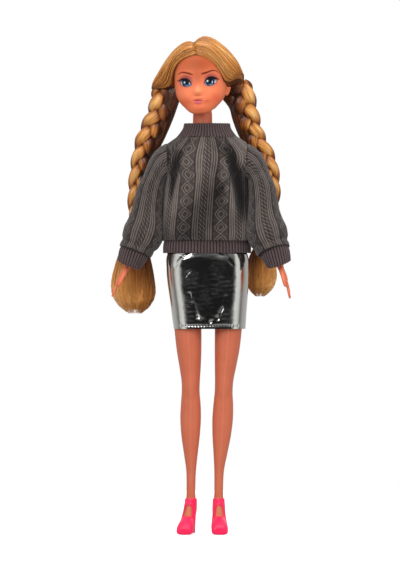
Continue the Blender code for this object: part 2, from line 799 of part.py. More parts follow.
def neck_post(pivot, pieces):
    """The plug that holds the head on: a flange inside the neck, a stem and a knob inside the head."""
    flange = post_flange_bottom()
    groove_top = NECK_TOP + HEAD_SEAT + HEAD_WALL + RUNNING_GAP
    knob = [(radius * POST_KNOB_RADIUS, groove_top + height * POST_KNOB_HEIGHT) for radius, height in KNOB_SHARES]
    profile = knob + [
        (POST_GROOVE_RADIUS, groove_top),
        (POST_GROOVE_RADIUS, NECK_TOP + GAP),
        (POST_STEM_RADIUS, NECK_TOP + GAP),
        (POST_STEM_RADIUS, flange + POST_FLANGE_HEIGHT),
        (POST_FLANGE_RADIUS, flange + POST_FLANGE_HEIGHT),
        (POST_FLANGE_RADIUS, flange),
        (0, flange),
    ]
    add_piece("neck_post", turned_mesh("neck_post", profile, NECK_LEAN), HARD_PLASTIC, pivot, pieces)


def hip_axle(pivot, pieces, cutters):
    reach = PELVIS_HALF_WIDTH + GAP + AXLE_IN_LEG
    start = Vector((-reach - AXLE_HEAD_LENGTH, 0, HIP_HEIGHT))
    end = Vector((reach + AXLE_HEAD_LENGTH, 0, HIP_HEIGHT))
    axle = add_piece("hip_axle", rod_mesh("hip_axle", start, end, AXLE_RADIUS, 20), STEEL, pivot, pieces)
    for side, word in SIDES:
        inner = Vector((side * reach, 0, HIP_HEIGHT))
        outer = Vector((side * (reach + AXLE_HEAD_LENGTH), 0, HIP_HEIGHT))
        head = add_cutter("axle head " + word, rod_mesh("head", inner, outer, AXLE_HEAD_RADIUS, 20), pivot, cutters)
        combine(axle, head, "UNION")


# Arms


def arm_aim(side):
    out, forward = ARM_AIM_SHARES[side]
    down = math.sqrt(1 - out * out - forward * forward)
    return Vector((side * out, -forward, -down))


def hand_aim(side):
    out, forward = HAND_AIM_SHARES[side]
    down = math.sqrt(1 - out * out - forward * forward)
    return Vector((side * out, -forward, -down))


def arm_root(side):
    """The middle of the shoulder ball, from which the arm's reach is measured."""
    return shoulder_place(side) + Vector((side * (GAP + SHOULDER_DISC_RADIUS / 2), 0, 0))


def wrist_place(side):
    return arm_root(side) + arm_aim(side) * ARM_REACH


def arm_point(side, share, bow, elbow):
    return (
        arm_root(side)
        + arm_aim(side) * (share * ARM_REACH)
        + Vector((side * bow * ARM_REACH, elbow * ARM_REACH, 0))
    )


def side_ring(side, centre, direction, half_width, half_depth, count):
    """An oval across a limb, starting on its outer side."""
    mirrored = Vector((side * direction.x, direction.y, direction.z))
    ring = limb_ring(Vector((0, 0, 0)), mirrored, half_width, half_depth, count)
    return [centre + Vector((side * point.x, point.y, point.z)) for point in ring]


def side_disc(side, centre, half_height, half_depth, count, tilt=0.0):
    ring = disc_ring(Vector((0, 0, 0)), half_height, half_depth, count, tilt)
    return [centre + Vector((side * point.x, point.y, point.z)) for point in ring]


def arm_rings(side):
    inner = shoulder_place(side) + Vector((side * GAP, 0, 0))
    rings = []
    for out, down, radius, tilt in SHOULDER_DISC_SHARES:
        centre = inner + Vector((side * out * SHOULDER_DISC_RADIUS, 0, -down * SHOULDER_DISC_RADIUS))
        size = radius * SHOULDER_DISC_RADIUS
        rings.append(side_disc(side, centre, size, size, ARM_SIDES, math.radians(tilt)))
    for share, bow, elbow, radius in ARM_SHARES:
        size = radius * ARM_RADIUS
        rings.append(side_ring(side, arm_point(side, share, bow, elbow), arm_aim(side), size, size, ARM_SIDES))
    for share, thickness, width in HAND_SHARES:
        centre = wrist_place(side) + hand_aim(side) * (share * HAND_LENGTH)
        rings.append(
            side_ring(
                side, centre, hand_aim(side), thickness * HAND_HALF_THICKNESS, width * HAND_HALF_WIDTH, ARM_SIDES
            )
        )
    return rings


def tube_mesh(name, points, radii, resolution=1):
    curve = bpy.data.curves.new(name, "CURVE")
    curve.dimensions = "3D"
    curve.bevel_depth = 1
    curve.bevel_resolution = resolution
    curve.use_fill_caps = True
    spline = curve.splines.new("POLY")
    spline.points.add(len(points) - 1)
    for point, place, radius in zip(spline.points, points, radii):
        point.co = (*place, 1)
        point.radius = radius
    tube = bpy.data.objects.new(name, curve)
    bpy.context.scene.collection.objects.link(tube)
    bpy.context.view_layer.update()
    mesh = bpy.data.meshes.new_from_object(tube.evaluated_get(bpy.context.evaluated_depsgraph_get()))
    bpy.data.objects.remove(tube, do_unlink=True)
    shape = bmesh.new()
    shape.from_mesh(mesh)
    bmesh.ops.remove_doubles(shape, verts=shape.verts[:], dist=GAP / 100)
    bmesh.ops.recalc_face_normals(shape, faces=shape.faces[:])
    shape.to_mesh(mesh)
    shape.free()
    return mesh


def thumb_mesh(side):
    points = []
    for along, forward, lean in THUMB_SHARES:
        centre = wrist_place(side) + hand_aim(side) * (along * HAND_LENGTH)
        offset = Vector((-side * lean * HAND_HALF_THICKNESS, -forward * HAND_HALF_WIDTH, 0))
        points.append(centre + offset)
    return tube_mesh("thumb", points, [THUMB_RADIUS * share for share in THUMB_TAPER_SHARES])


def add_arm(side, word, pivot, pieces, cutters):
    name = "arm_" + word
    arm = add_piece(name, loft_mesh(name, arm_rings(side)), SKIN, pivot, pieces)
    thumb = add_cutter("thumb " + word, thumb_mesh(side), pivot, cutters)
    combine(arm, thumb, "UNION")
    start = shoulder_place(side)
    socket_end = start + Vector((side * (GAP + PEG_IN_ARM + GAP), 0, 0))
    socket = rod_mesh("socket", start, socket_end, PEG_RADIUS + GAP)
    combine(arm, add_cutter("arm socket " + word, socket, pivot, cutters), "DIFFERENCE")
    peg_name = "shoulder_peg_" + word
    head_in = start - Vector((side * (TORSO_WALL + GAP + PEG_HEAD_LENGTH), 0, 0))
    head_out = start - Vector((side * (TORSO_WALL + GAP), 0, 0))
    peg_end = start + Vector((side * (GAP + PEG_IN_ARM), 0, 0))
    peg = add_piece(peg_name, rod_mesh(peg_name, head_in, peg_end, PEG_RADIUS, 20), HARD_PLASTIC, pivot, pieces)
    head = add_cutter("peg head " + word, rod_mesh("head", head_in, head_out, PEG_HEAD_RADIUS, 20), pivot, cutters)
    combine(peg, head, "UNION")


# Legs, feet and shoes


def foot_frame(side):
    """The ankle's place and the turn that points the toes outwards."""
    first = LEG_SHARES[0]
    ankle = Vector((side * first[1] * THIGH_CENTRE + first[5] * LEG_LEAN, 0, ANKLE_HEIGHT))
    turn = Matrix.Rotation(math.radians(side * FOOT_TURN_DEGREES[side]), 4, "Z")
    return Matrix.Translation(ankle) @ turn


def foot_rings(side, grow, count):
    """Ovals down the raised foot from the ankle to the toes, each grown outwards."""
    frame = foot_frame(side)
    rings = []
    for forward, height, pitch, width, thickness in FOOT_SHARES:
        angle = math.radians(pitch)
        reach = forward * FOOT_LENGTH + (grow if forward == FOOT_SHARES[-1][0] else 0)
        centre = Vector((0, -reach, height * ANKLE_HEIGHT - ANKLE_HEIGHT))
        direction = Vector((0, -math.sin(angle), -math.cos(angle)))
        ring = limb_ring(
            centre,
            direction,
            width * FOOT_HALF_WIDTH + grow,
            thickness * FOOT_HALF_HEIGHT + grow,
            count,
        )
        rings.append([frame @ point for point in ring])
    return rings


def leg_rings(side):
    rings = []
    hip_to_ankle = HIP_HEIGHT - ANKLE_HEIGHT
    for height, centre, width, front, back, lean in LEG_SHARES:
        level = ANKLE_HEIGHT + height * hip_to_ankle
        place = Vector((side * centre * THIGH_CENTRE + lean * LEG_LEAN, 0, level))
        ring = flat_ring(
            place, width * THIGH_HALF_WIDTH, front * THIGH_HALF_DEPTH, back * THIGH_HALF_DEPTH, LEG_SIDES
        )
        rings.append(ring)
    for height, centre, width in HIP_TOP_SHARES:
        level = HIP_HEIGHT + height * HIP_TOP_RADIUS
        place = Vector((side * centre * THIGH_CENTRE, 0, level))
        half_depth = min(HIP_TOP_RADIUS * math.sqrt(1 - height * height), HIP_DEPTH_SHARE * THIGH_HALF_DEPTH)
        rings.append(flat_ring(place, width * THIGH_HALF_WIDTH, half_depth, half_depth, LEG_SIDES))
    return rings


def add_leg(side, word, pivot, pieces, cutters):
    name = "leg_" + word
    foot = foot_rings(side, 0, LEG_SIDES)[::-1]
    leg = add_piece(name, loft_mesh(name, foot + leg_rings(side)), SKIN, pivot, pieces)
    inner = side * (PELVIS_HALF_WIDTH + GAP)
    middle = -side * OVERRUN
    low = Vector((min(inner, middle), -OVERRUN, HIP_HEIGHT - PELVIS_RADIUS - 2 * GAP))
    high = Vector((max(inner, middle), OVERRUN, HIP_HEIGHT + OVERRUN))
    flat = add_cutter("leg flat " + word, box_mesh("flat", low, high), pivot, cutters)
    combine(leg, flat, "DIFFERENCE")
    start = hip_place(side)
    neck_end = start + Vector((side * (GAP + AXLE_IN_LEG), 0, 0))
    head_start = start + Vector((side * AXLE_IN_LEG, 0, 0))
    head_end = start + Vector((side * (3 * GAP + AXLE_IN_LEG + AXLE_HEAD_LENGTH), 0, 0))
    bore = rod_mesh("bore", start - Vector((side * GAP, 0, 0)), neck_end, AXLE_RADIUS + GAP)
    combine(leg, add_cutter("axle bore " + word, bore, pivot, cutters), "DIFFERENCE")
    pocket = rod_mesh("pocket", head_start, head_end, AXLE_HEAD_RADIUS + GAP)
    combine(leg, add_cutter("axle pocket " + word, pocket, pivot, cutters), "DIFFERENCE")


def shoe_window_outline():
    """Side view of the opening over the instep, as distance behind the ankle and height above it."""
    back = WINDOW_BACK_SHARE * FOOT_LENGTH
    points = [(-OVERRUN, STRAP_BOTTOM), (back, STRAP_BOTTOM), (back, HEEL_RISE + 2 * SOLE_THICKNESS)]
    for forward, height in WINDOW_SHARES:
        points.append((-forward * FOOT_LENGTH, height * ANKLE_HEIGHT))
    points.append((-THROAT_FORWARD_SHARE * FOOT_LENGTH, THROAT_HEIGHT))
    points.append((-OVERRUN, THROAT_HEIGHT + SOLE_THICKNESS))
    return [(along, height - ANKLE_HEIGHT) for along, height in points]


def place_in_foot_frame(mesh, side):
    mesh.transform(foot_frame(side))
    return mesh


def shoe_sole_rings():
    """The flat tread under the toes, an outline like the foot's, from the ground up."""
    rings = []
    for level in (0, SOLE_THICKNESS):
        ring = []
        for step in range(SHOE_SIDES):
            angle = 2 * math.pi * step / SHOE_SIDES
            across = (FOOT_HALF_WIDTH + SHOE_WALL) * squared(math.cos(angle), TREAD_SQUARENESS)
            along = (TREAD_HALF_LENGTH_SHARE * math.sin(angle) - TREAD_FORWARD_SHARE) * FOOT_LENGTH
            ring.append(Vector((across, along, level - ANKLE_HEIGHT)))
        rings.append(ring)
    return rings


def shoe_heel_rings():
    """The heel, square to the ground and wider at its top."""
    rings = []
    back = HEEL_BACK_SHARE * FOOT_LENGTH
    for level, spread in zip((0, HEEL_RISE / 2, HEEL_RISE + SOLE_THICKNESS), HEEL_SPREAD_SHARES):
        half_width = spread * HEEL_HALF_WIDTH
        depth = spread * HEEL_DEPTH
        height = level - ANKLE_HEIGHT
        ring = [
            Vector((half_width, back - depth, height)),
            Vector((half_width, back, height)),
            Vector((-half_width, back, height)),
            Vector((-half_width, back - depth, height)),
        ]
        rings.append(ring)
    return rings


def add_shoe(side, word, pivot, pieces, cutters):
    name = "shoe_" + word
    outer = foot_rings(side, GAP + SHOE_WALL, SHOE_SIDES)
    frame = foot_frame(side)
    top = [frame @ (point + Vector((0, 0, STRAP_TOP - ANKLE_HEIGHT))) for point in ankle_oval(GAP + SHOE_WALL)]
    shoe = add_piece(name, loft_mesh(name, [top] + outer), SHOE_VINYL, pivot, pieces)
    sole = place_in_foot_frame(loft_mesh("sole", shoe_sole_rings()), side)
    combine(shoe, add_cutter("shoe sole " + word, sole, pivot, cutters), "UNION")
    heel = place_in_foot_frame(loft_mesh("heel", shoe_heel_rings()), side)
    combine(shoe, add_cutter("shoe heel " + word, heel, pivot, cutters), "UNION")
    window = prism_mesh("window", shoe_window_outline(), -OVERRUN, OVERRUN, "X")
    window = place_in_foot_frame(window, side)
    combine(shoe, add_cutter("shoe window " + word, window, pivot, cutters), "DIFFERENCE")
    inner = foot_rings(side, GAP, LEG_SIDES)
    above = [frame @ (point + Vector((0, 0, GAP))) for point in ankle_oval(GAP, LEG_SIDES)]
    hollow = loft_mesh("hollow", [above] + inner)
    combine(shoe, add_cutter("shoe hollow " + word, hollow, pivot, cutters), "DIFFERENCE")


def ankle_oval(grow, count=SHOE_SIDES):
    first = LEG_SHARES[0]
    half_width = first[2] * THIGH_HALF_WIDTH + grow
    half_depth = first[4] * THIGH_HALF_DEPTH + grow
    return limb_ring(Vector((0, 0, 0)), Vector((0, 0, -1)), half_width, half_depth, count)


# Head


def head_rings(grow, start=0):
    """Level ovals of the upright head from the chin to the crown, each grown outwards."""
    base = NECK_TOP + HEAD_SEAT
    rings = []
    for drop, width, front, back in CHIN_SHARES[start:]:
        rings.append(
            span_ring(
                NECK_LEAN,
                base - drop * CHIN_DROP - (GAP if drop == 0 else 0),
                width * HEAD_HALF_WIDTH + grow,
                front * HEAD_FRONT + grow,
                back * HEAD_BACK + grow,
                HEAD_SIDES,
            )
        )
    for height, width, front, back in HEAD_SHARES:
        lift = grow if height > CROWN_SHARE else 0
        rings.append(
            span_ring(
                NECK_LEAN,
                base + height * HEAD_HEIGHT + lift,
                width * HEAD_HALF_WIDTH + grow,
                front * HEAD_FRONT + grow,
                back * HEAD_BACK + grow,
                HEAD_SIDES,
            )
        )
    return rings


def raise_nose(rings):
    base = NECK_TOP + HEAD_SEAT
    for ring in rings:
        height = (ring[0].z - base) / HEAD_HEIGHT
        rise = math.exp(-(((height - NOSE_HEIGHT_SHARE) / NOSE_SPREAD_SHARE) ** 2))
        for point in ring:
            if point.y < 0:
                across = (point.x - NECK_LEAN) / (NOSE_WIDTH_SHARE * HEAD_HALF_WIDTH)
                point.y -= NOSE_LENGTH * rise * math.exp(-across * across)
    return rings


def ear_mesh(side, grow):
    across = NECK_LEAN + side * (HEAD_HALF_WIDTH - EAR_SINK_SHARE * EAR_THICKNESS)
    level = NECK_TOP + HEAD_SEAT + EAR_HEIGHT_SHARE * HEAD_HEIGHT
    turn = Matrix.Rotation(math.radians(side * EAR_FLARE_DEGREES), 4, "Z")
    radii = (EAR_THICKNESS + grow, EAR_WIDTH_SHARE * EAR_RADIUS + grow, EAR_RADIUS + grow)
    return ball_mesh("ear", Vector((across, EAR_BACK_SHARE * HEAD_BACK, level)), radii, turn)


def add_head(pivot, pieces, cutters):
    head = add_piece("head", loft_mesh("head", raise_nose(head_rings(0))), FACE_SKIN, pivot, pieces)
    for side, word in SIDES:
        combine(head, add_cutter("ear " + word, ear_mesh(side, 0), pivot, cutters), "UNION")
    inside = head_rings(-HEAD_WALL, len(CHIN_SHARES))
    for ring in inside:
        for point in ring:
            point.z = min(point.z, NECK_TOP + HEAD_SEAT + HEAD_HEIGHT - HEAD_WALL)
    floor = NECK_TOP + HEAD_SEAT + HEAD_WALL
    inside = [ring for ring in inside if ring[0].z > floor + HEAD_WALL / 2]
    base = [Vector((point.x, point.y, floor)) for point in inside[0]]
    top = inside[-1]
    below = [ring for ring in inside[:-1] if ring[0].z < top[0].z - GAP]
    inside = [base] + below[::2] + [top]
    hollow = add_cutter("head hollow", loft_mesh("hollow", inside), pivot, cutters)
    combine(head, hollow, "DIFFERENCE")
    centre = Vector((NECK_LEAN, 0, NECK_TOP - OVERRUN))
    end = Vector((NECK_LEAN, 0, floor + HEAD_WALL))
    bore = rod_mesh("neck bore", centre, end, POST_GROOVE_RADIUS + RUNNING_GAP)
    combine(head, add_cutter("head bore", bore, pivot, cutters), "DIFFERENCE")


# Hair


def hair_rings():
    base = NECK_TOP + HEAD_SEAT
    low_depth, top_depth = HAIR_DEPTH_SHARES
    rings = []
    for height, width, front, back in HEAD_SHARES[1:]:
        grow = HAIR_DEPTH * min(top_depth, low_depth + height)
        lift = HAIR_TOP * height**3
        rings.append(
            span_ring(
                NECK_LEAN,
                base + height * HEAD_HEIGHT + lift,
                width * HEAD_HALF_WIDTH + grow,
                front * HEAD_FRONT + grow,
                back * HEAD_BACK + grow,
                HAIR_SIDES,
            )
        )
    return rings


def sweep_rings(side):
    base = NECK_TOP + HEAD_SEAT
    places = []
    for out, back, height, _, _ in SWEEP_SHARES:
        x = NECK_LEAN + side * out * HEAD_HALF_WIDTH
        places.append(Vector((x, back * HEAD_BACK, base + height * HEAD_HEIGHT)))
    rings = []
    for step, (_, _, _, sweep, lock) in enumerate(SWEEP_SHARES):
        before = places[max(0, step - 1)]
        after = places[min(len(places) - 1, step + 1)]
        along = (after - before).normalized()
        up = along.cross(Vector((0, 1, 0))).normalized() * side
        ring = []
        for turn in range(HAIR_SIDES):
            angle = 2 * math.pi * turn / HAIR_SIDES
            reach = Vector((0, 1, 0)) * (sweep * HAIR_SWEEP * math.cos(angle))
            ring.append(places[step] + reach + up * (lock * HAIR_LOCK * math.sin(angle)))
        rings.append(ring)
    return rings


def face_outline():
    base = NECK_TOP + HEAD_SEAT
    points = []
    for width, height in HAIRLINE_SHARES:
        points.append((NECK_LEAN + width * HEAD_HALF_WIDTH, base + height * HEAD_HEIGHT))
    mirrored = [(2 * NECK_LEAN - x, z) for x, z in reversed(points[1:])]
    return points + mirrored


def add_hair_cap(pivot, pieces, cutters):
    hair = add_piece("hair_cap", loft_mesh("hair_cap", hair_rings()), HAIR, pivot, pieces)
    for side, word in SIDES:
        sweep = add_cutter("combed side " + word, loft_mesh("sweep", sweep_rings(side)), pivot, cutters)
        combine(hair, sweep, "UNION")
    front = -HEAD_FRONT - OVERRUN
    face = prism_mesh("face", face_outline(), front, -HAIRLINE_BACK_SHARE * HEAD_FRONT, "Y")
    combine(hair, add_cutter("face opening", face, pivot, cutters), "DIFFERENCE")
    inside = head_rings(GAP)
    for ring in inside[: len(CHIN_SHARES)]:
        for point in ring:
            point.z -= HEAD_WALL
    skull = add_cutter("skull", loft_mesh("skull", inside), pivot, cutters)
    combine(hair, skull, "DIFFERENCE")
    for side, word in SIDES:
        room = ear_mesh(side, RUNNING_GAP)
        combine(hair, add_cutter("ear room " + word, room, pivot, cutters), "DIFFERENCE")


# Braids


def tie_height():
    return NECK_TOP - TRUNK_LENGTH - 2 * TIE_THICKNESS


def braid_line(side):
    """The braid's middle line from under the combed side down to the tie."""
    bottom = tie_height()
    drop = NECK_TOP + HEAD_SEAT + KNOT_SHARE * HEAD_HEIGHT - bottom
    places = []
    for out, back, up in BRAID_PLACE_SHARES[side]:
        places.append(Vector((side * out * HEAD_HALF_WIDTH, back * HEAD_BACK, bottom + up * drop)))
    return places


def curve_through(places, count):
    """Evenly stepped points on a smooth curve through the places."""
    padded = [2 * places[0] - places[1]] + list(places) + [2 * places[-1] - places[-2]]
    fine = []
    for first, second, third, fourth in zip(padded, padded[1:], padded[2:], padded[3:]):
        for step in range(12):
            part = step / 12
            fine.append(
                0.5
                * (
                    2 * second
                    + (third - first) * part
                    + (2 * first - 5 * second + 4 * third - fourth) * part**2
                    + (3 * second - first - 3 * third + fourth) * part**3
                )
            )
    fine.append(places[-1])
    lengths = [0.0]
    for before, after in zip(fine, fine[1:]):
        lengths.append(lengths[-1] + (after - before).length)
    points = []
    spot = 0
    for step in range(count + 1):
        target = lengths[-1] * step / count
        while spot < len(lengths) - 2 and lengths[spot + 1] < target:
            spot += 1
        part = (target - lengths[spot]) / (lengths[spot + 1] - lengths[spot])
        points.append(fine[spot].lerp(fine[spot + 1], part))
    return points, lengths[-1]


def braid_rings(side):
    points, length = curve_through(braid_line(side), BRAID_STEPS)
    rings = []
    for step, point in enumerate(points):
        share = step / BRAID_STEPS
        before = points[max(0, step - 1)]
        after = points[min(BRAID_STEPS, step + 1)]
        size = blend_shares(BRAID_TAPER_SHARES, share, 1)
        phase = 2 * math.pi * share * length / BRAID_TURN
        ring = limb_ring(Vector((0, 0, 0)), after - before, 1, 1, BRAID_SIDES)
        across = ring[0]
        forward = ring[BRAID_SIDES // 4]
        shaped = []
        for turn in range(BRAID_SIDES):
            angle = 2 * math.pi * turn / BRAID_SIDES
            fade = min(1.0, BRAID_LOBE_FADE * math.sin(math.pi * share))
            lobe = 1 + fade * BRAID_LOBE_SHARE * math.sin(phase) * math.cos(angle)
            width = across * (size * BRAID_HALF_WIDTH * lobe * math.cos(angle))
            depth = forward * (min(1.0, BRAID_DEPTH_SHARE * size) * BRAID_HALF_DEPTH * math.sin(angle))
            shaped.append(point + width + depth)
        rings.append(shaped)
    return rings


def grown_sweep(side, word, pivot, cutters):
    """Room for the combed side, so that the braid starts just clear of it."""
    rings = sweep_rings(side)
    centres = [sum(ring, Vector((0, 0, 0))) / len(ring) for ring in rings]
    grown = []
    for ring, centre in zip(rings, centres):
        grown.append([point + (point - centre).normalized() * RUNNING_GAP for point in ring])
    along = (centres[-1] - centres[-2]).normalized()
    grown.append([point + along * RUNNING_GAP for point in grown[-1]])
    return add_cutter("braid start " + word, loft_mesh("braid start", grown), pivot, cutters)


def add_braid(side, word, pivot, pieces, hair_room):
    name = "braid_" + word
    braid = add_piece(name, loft_mesh(name, braid_rings(side)), HAIR, pivot, pieces)
    combine(braid, hair_room, "DIFFERENCE")


def tie_frame(side):
    line = braid_line(side)
    down = (line[-1] - line[-2]).normalized()
    return line[-1], down


def add_tie(side, word, pivot, pieces):
    """A rubber band below the braid, a torus round a core of hair that stays open for it."""
    end, down = tie_frame(side)
    centre = end + down * (TIE_THICKNESS + GAP)
    name = "hair_tie_" + word
    bpy.ops.mesh.primitive_torus_add(
        major_segments=16,
        minor_segments=6,
        major_radius=TIE_RADIUS,
        minor_radius=TIE_THICKNESS,
    )
    ring = bpy.context.object
    mesh = ring.data.copy()
    bpy.data.objects.remove(ring, do_unlink=True)
    turn = down.to_track_quat("Z", "Y").to_matrix().to_4x4()
    mesh.transform(Matrix.Translation(centre) @ turn)
    add_piece(name, mesh, ELASTIC, pivot, pieces)


def tail_rings(side):
    end, down = tie_frame(side)
    width_size, length_size = TAIL_SIZE_SHARES[side]
    top = end + down * GAP
    core = TIE_RADIUS - TIE_THICKNESS - GAP
    rings = []
    for drop in (0, 2 * (TIE_THICKNESS + GAP)):
        rings.append(flat_ring(top + Vector((0, 0, -drop)), core, core, core, TAIL_SIDES))
    start = top + Vector((0, 0, -2 * (TIE_THICKNESS + GAP)))
    for share, out, width, depth in TAIL_SHARES[1:]:
        length = TAIL_LENGTH * length_size
        place = start + Vector((side * out * length, -TAIL_LEAN_SHARE * share * length, -share * length))
        half_depth = depth * TAIL_HALF_DEPTH
        rings.append(flat_ring(place, width * TAIL_HALF_WIDTH * width_size, half_depth, half_depth, TAIL_SIDES))
    return rings


def add_tail(side, word, pivot, pieces):
    name = "hair_tail_" + word
    add_piece(name, loft_mesh(name, tail_rings(side)), HAIR, pivot, pieces)


# Sweater


def garment_ring(level, row, inset, squareness):
    _, width, front, back = row
    return flat_ring(
        Vector((0, 0, level)),
        width * ARMHOLE_PLANE - inset,
        front * SWEATER_FRONT - inset,
        back * SWEATER_BACK - inset,
        SWEATER_SIDES,
        squareness,
    )


def band_mesh(name, rows, bottom, top, low_squareness, high_squareness):
    """A knitted tube from bottom to top, open at both ends, one knit thick."""
    outer = []
    inner = []
    for row in rows:
        level = bottom + row[0] * (top - bottom)
        squareness = low_squareness + row[0] * (high_squareness - low_squareness)
        outer.append(garment_ring(level, row, 0, squareness))
        inner.append(garment_ring(level, row, KNIT_THICKNESS, squareness))
    return loft_mesh(name, outer + inner[::-1], looped=True)


def sweater_levels():
    hem_top = HEM_BOTTOM + HEM_BAND
    top = SHOULDER_HEIGHT + SWEATER_TOP
    return hem_top + GAP, top


def slit_back(piece, name, bottom, top, pivot, cutters):
    low = Vector((-CLOSURE_SLIT / 2, 0, bottom - OVERRUN))
    high = Vector((CLOSURE_SLIT / 2, SWEATER_BACK + OVERRUN, top + OVERRUN))
    combine(piece, add_cutter(name + " slit", box_mesh("slit", low, high), pivot, cutters), "DIFFERENCE")


def add_sweater(pivot, pieces, cutters):
    bottom, top = sweater_levels()
    body = band_mesh("sweater_body", SWEATER_SHARES, bottom, top, SKIRT_SQUARENESS, 2)
    body = add_piece("sweater_body", body, KNIT, pivot, pieces)
    for side, word in SIDES:
        inner = side * ARMHOLE_PLANE
        outer = side * (ARMHOLE_PLANE + OVERRUN)
        low = Vector((min(inner, outer), -OVERRUN, SHOULDER_HEIGHT - ARMHOLE_RADIUS - 2 * KNIT_THICKNESS))
        high = Vector((max(inner, outer), OVERRUN, top + OVERRUN))
        combine(body, add_cutter("armhole " + word, box_mesh("armhole", low, high), pivot, cutters), "DIFFERENCE")
    slit_back(body, "sweater body", bottom, top, pivot, cutters)
    collar_low = top + GAP
    collar = band_mesh("sweater_collar", COLLAR_SHARES, collar_low, collar_low + COLLAR_BAND, 2, 2)
    collar = add_piece("sweater_collar", collar, KNIT, pivot, pieces)
    slit_back(collar, "collar", collar_low, top, pivot, cutters)
    hem_top = HEM_BOTTOM + HEM_BAND
    hem = band_mesh("sweater_hem", HEM_SHARES, HEM_BOTTOM, hem_top, SKIRT_SQUARENESS, SKIRT_SQUARENESS)
    hem = add_piece("sweater_hem", hem, KNIT, pivot, pieces)
    slit_back(hem, "hem", HEM_BOTTOM, bottom, pivot, cutters)


def add_sweater_closure(pivot, pieces):
    """The hook tape inside the back opening, following the sweater's back."""
    bottom, top = sweater_levels()
    rings = []
    for height, _, _, back in SWEATER_SHARES[1:-1]:
        level = bottom + height * (top - bottom)
        outer = back * SWEATER_BACK - KNIT_THICKNESS - RUNNING_GAP
        inner = outer - CLOSURE_THICKNESS
        half = CLOSURE_WIDTH / 2
        rings.append(
            [
                Vector((half, inner, level)),
                Vector((half, outer - GAP, level)),
                Vector((-half, outer - GAP, level)),
                Vector((-half, inner, level)),
            ]
        )
    add_piece("sweater_closure", loft_mesh("sweater_closure", rings), HOOK_TAPE, pivot, pieces)


def sleeve_ring(side, row, inset):
    share, puff, width, depth = row
    centre = arm_point(side, share, 0, 0) + Vector((side * puff * SLEEVE_PUFF, 0, 0))
    return side_ring(
        side, centre, arm_aim(side), width * SLEEVE_RADIUS - inset, depth * SLEEVE_RADIUS - inset, SLEEVE_SIDES
    )


def sleeve_rings(side, inset):
    start = Vector((side * (ARMHOLE_PLANE + GAP), 0, SHOULDER_HEIGHT))
    rings = []
    for out, down, height, depth, tilt in SLEEVE_CAP_SHARES:
        centre = start + Vector((side * out * ARMHOLE_RADIUS, 0, -down * ARMHOLE_RADIUS))
        half_height = height * ARMHOLE_RADIUS - inset
        half_depth = depth * ARMHOLE_RADIUS - inset
        rings.append(side_disc(side, centre, half_height, half_depth, SLEEVE_SIDES, math.radians(tilt)))
    for row in SLEEVE_SHARES:
        rings.append(sleeve_ring(side, row, inset))
    return rings


def cuff_rings(side, inset):
    rings = []
    start = CUFF_START_SHARE + GAP / ARM_REACH
    for step, (puff, radius) in enumerate(zip(CUFF_PUFF_SHARES, CUFF_RADIUS_SHARES)):
        share = start + step * CUFF_LENGTH / ARM_REACH
        rings.append(sleeve_ring(side, (share, puff, radius, radius), inset))
    return rings


def add_sleeve(side, word, pivot, pieces):
    outer = sleeve_rings(side, 0)
    inner = sleeve_rings(side, KNIT_THICKNESS)
    end_radius = SLEEVE_END_SHARE * CUFF_RADIUS_SHARES[0]
    end_row = (CUFF_START_SHARE, CUFF_PUFF_SHARES[0], end_radius, end_radius)
    outer.append(sleeve_ring(side, end_row, 0))
    inner.append(sleeve_ring(side, end_row, KNIT_THICKNESS))
    name = "sweater_sleeve_" + word
    add_piece(name, loft_mesh(name, outer + inner[::-1], looped=True), KNIT, pivot, pieces)
    name = "sweater_cuff_" + word
    mesh = loft_mesh(name, cuff_rings(side, 0) + cuff_rings(side, KNIT_THICKNESS)[::-1], looped=True)
    add_piece(name, mesh, KNIT, pivot, pieces)


# Skirt


def skirt_ring(row, inset):
    share, width, depth, shift = row
    level = SKIRT_TOP - share * SKIRT_LENGTH
    ring = flat_ring(
        Vector((shift * SKIRT_SHIFT, 0, level)),
        width * SKIRT_HALF_WIDTH - inset,
        depth * SKIRT_HALF_DEPTH - inset,
        depth * SKIRT_HALF_DEPTH - inset,
        SKIRT_SIDES,
        SKIRT_SQUARENESS,
    )
    for step, point in enumerate(ring):
        wave = SKIRT_RIPPLE * share * math.cos(2 * math.pi * SKIRT_RIPPLES * step / SKIRT_SIDES)
        centre = Vector((shift * SKIRT_SHIFT, 0, level))
        outward = (point - centre).normalized()
        point += outward * (wave - SKIRT_RIPPLE * share)
    return ring


def add_skirt(pivot, pieces):
    outer = [skirt_ring(row, 0) for row in SKIRT_SHARES]
    inner = [skirt_ring(row, FOIL_THICKNESS) for row in SKIRT_SHARES]
    mesh = loft_mesh("skirt", outer + inner[::-1], looped=True)
    add_piece("skirt", mesh, FOIL, pivot, pieces)
    first = SKIRT_SHARES[0]
    rings = []
    for inset in (0, WAISTBAND_THICKNESS):
        pair = []
        for level in (SKIRT_TOP + GAP, SKIRT_TOP + GAP + WAISTBAND_HEIGHT):
            pair.append(
                flat_ring(
                    Vector((0, 0, level)),
                    first[1] * SKIRT_HALF_WIDTH - inset,
                    first[2] * SKIRT_HALF_DEPTH - inset,
                    first[2] * SKIRT_HALF_DEPTH - inset,
                    SKIRT_SIDES,
                    SKIRT_SQUARENESS,
                )
            )
        rings.append(pair)
    mesh = loft_mesh("skirt_waistband", rings[0] + rings[1][::-1], looped=True)
    add_piece("skirt_waistband", mesh, FOIL, pivot, pieces)


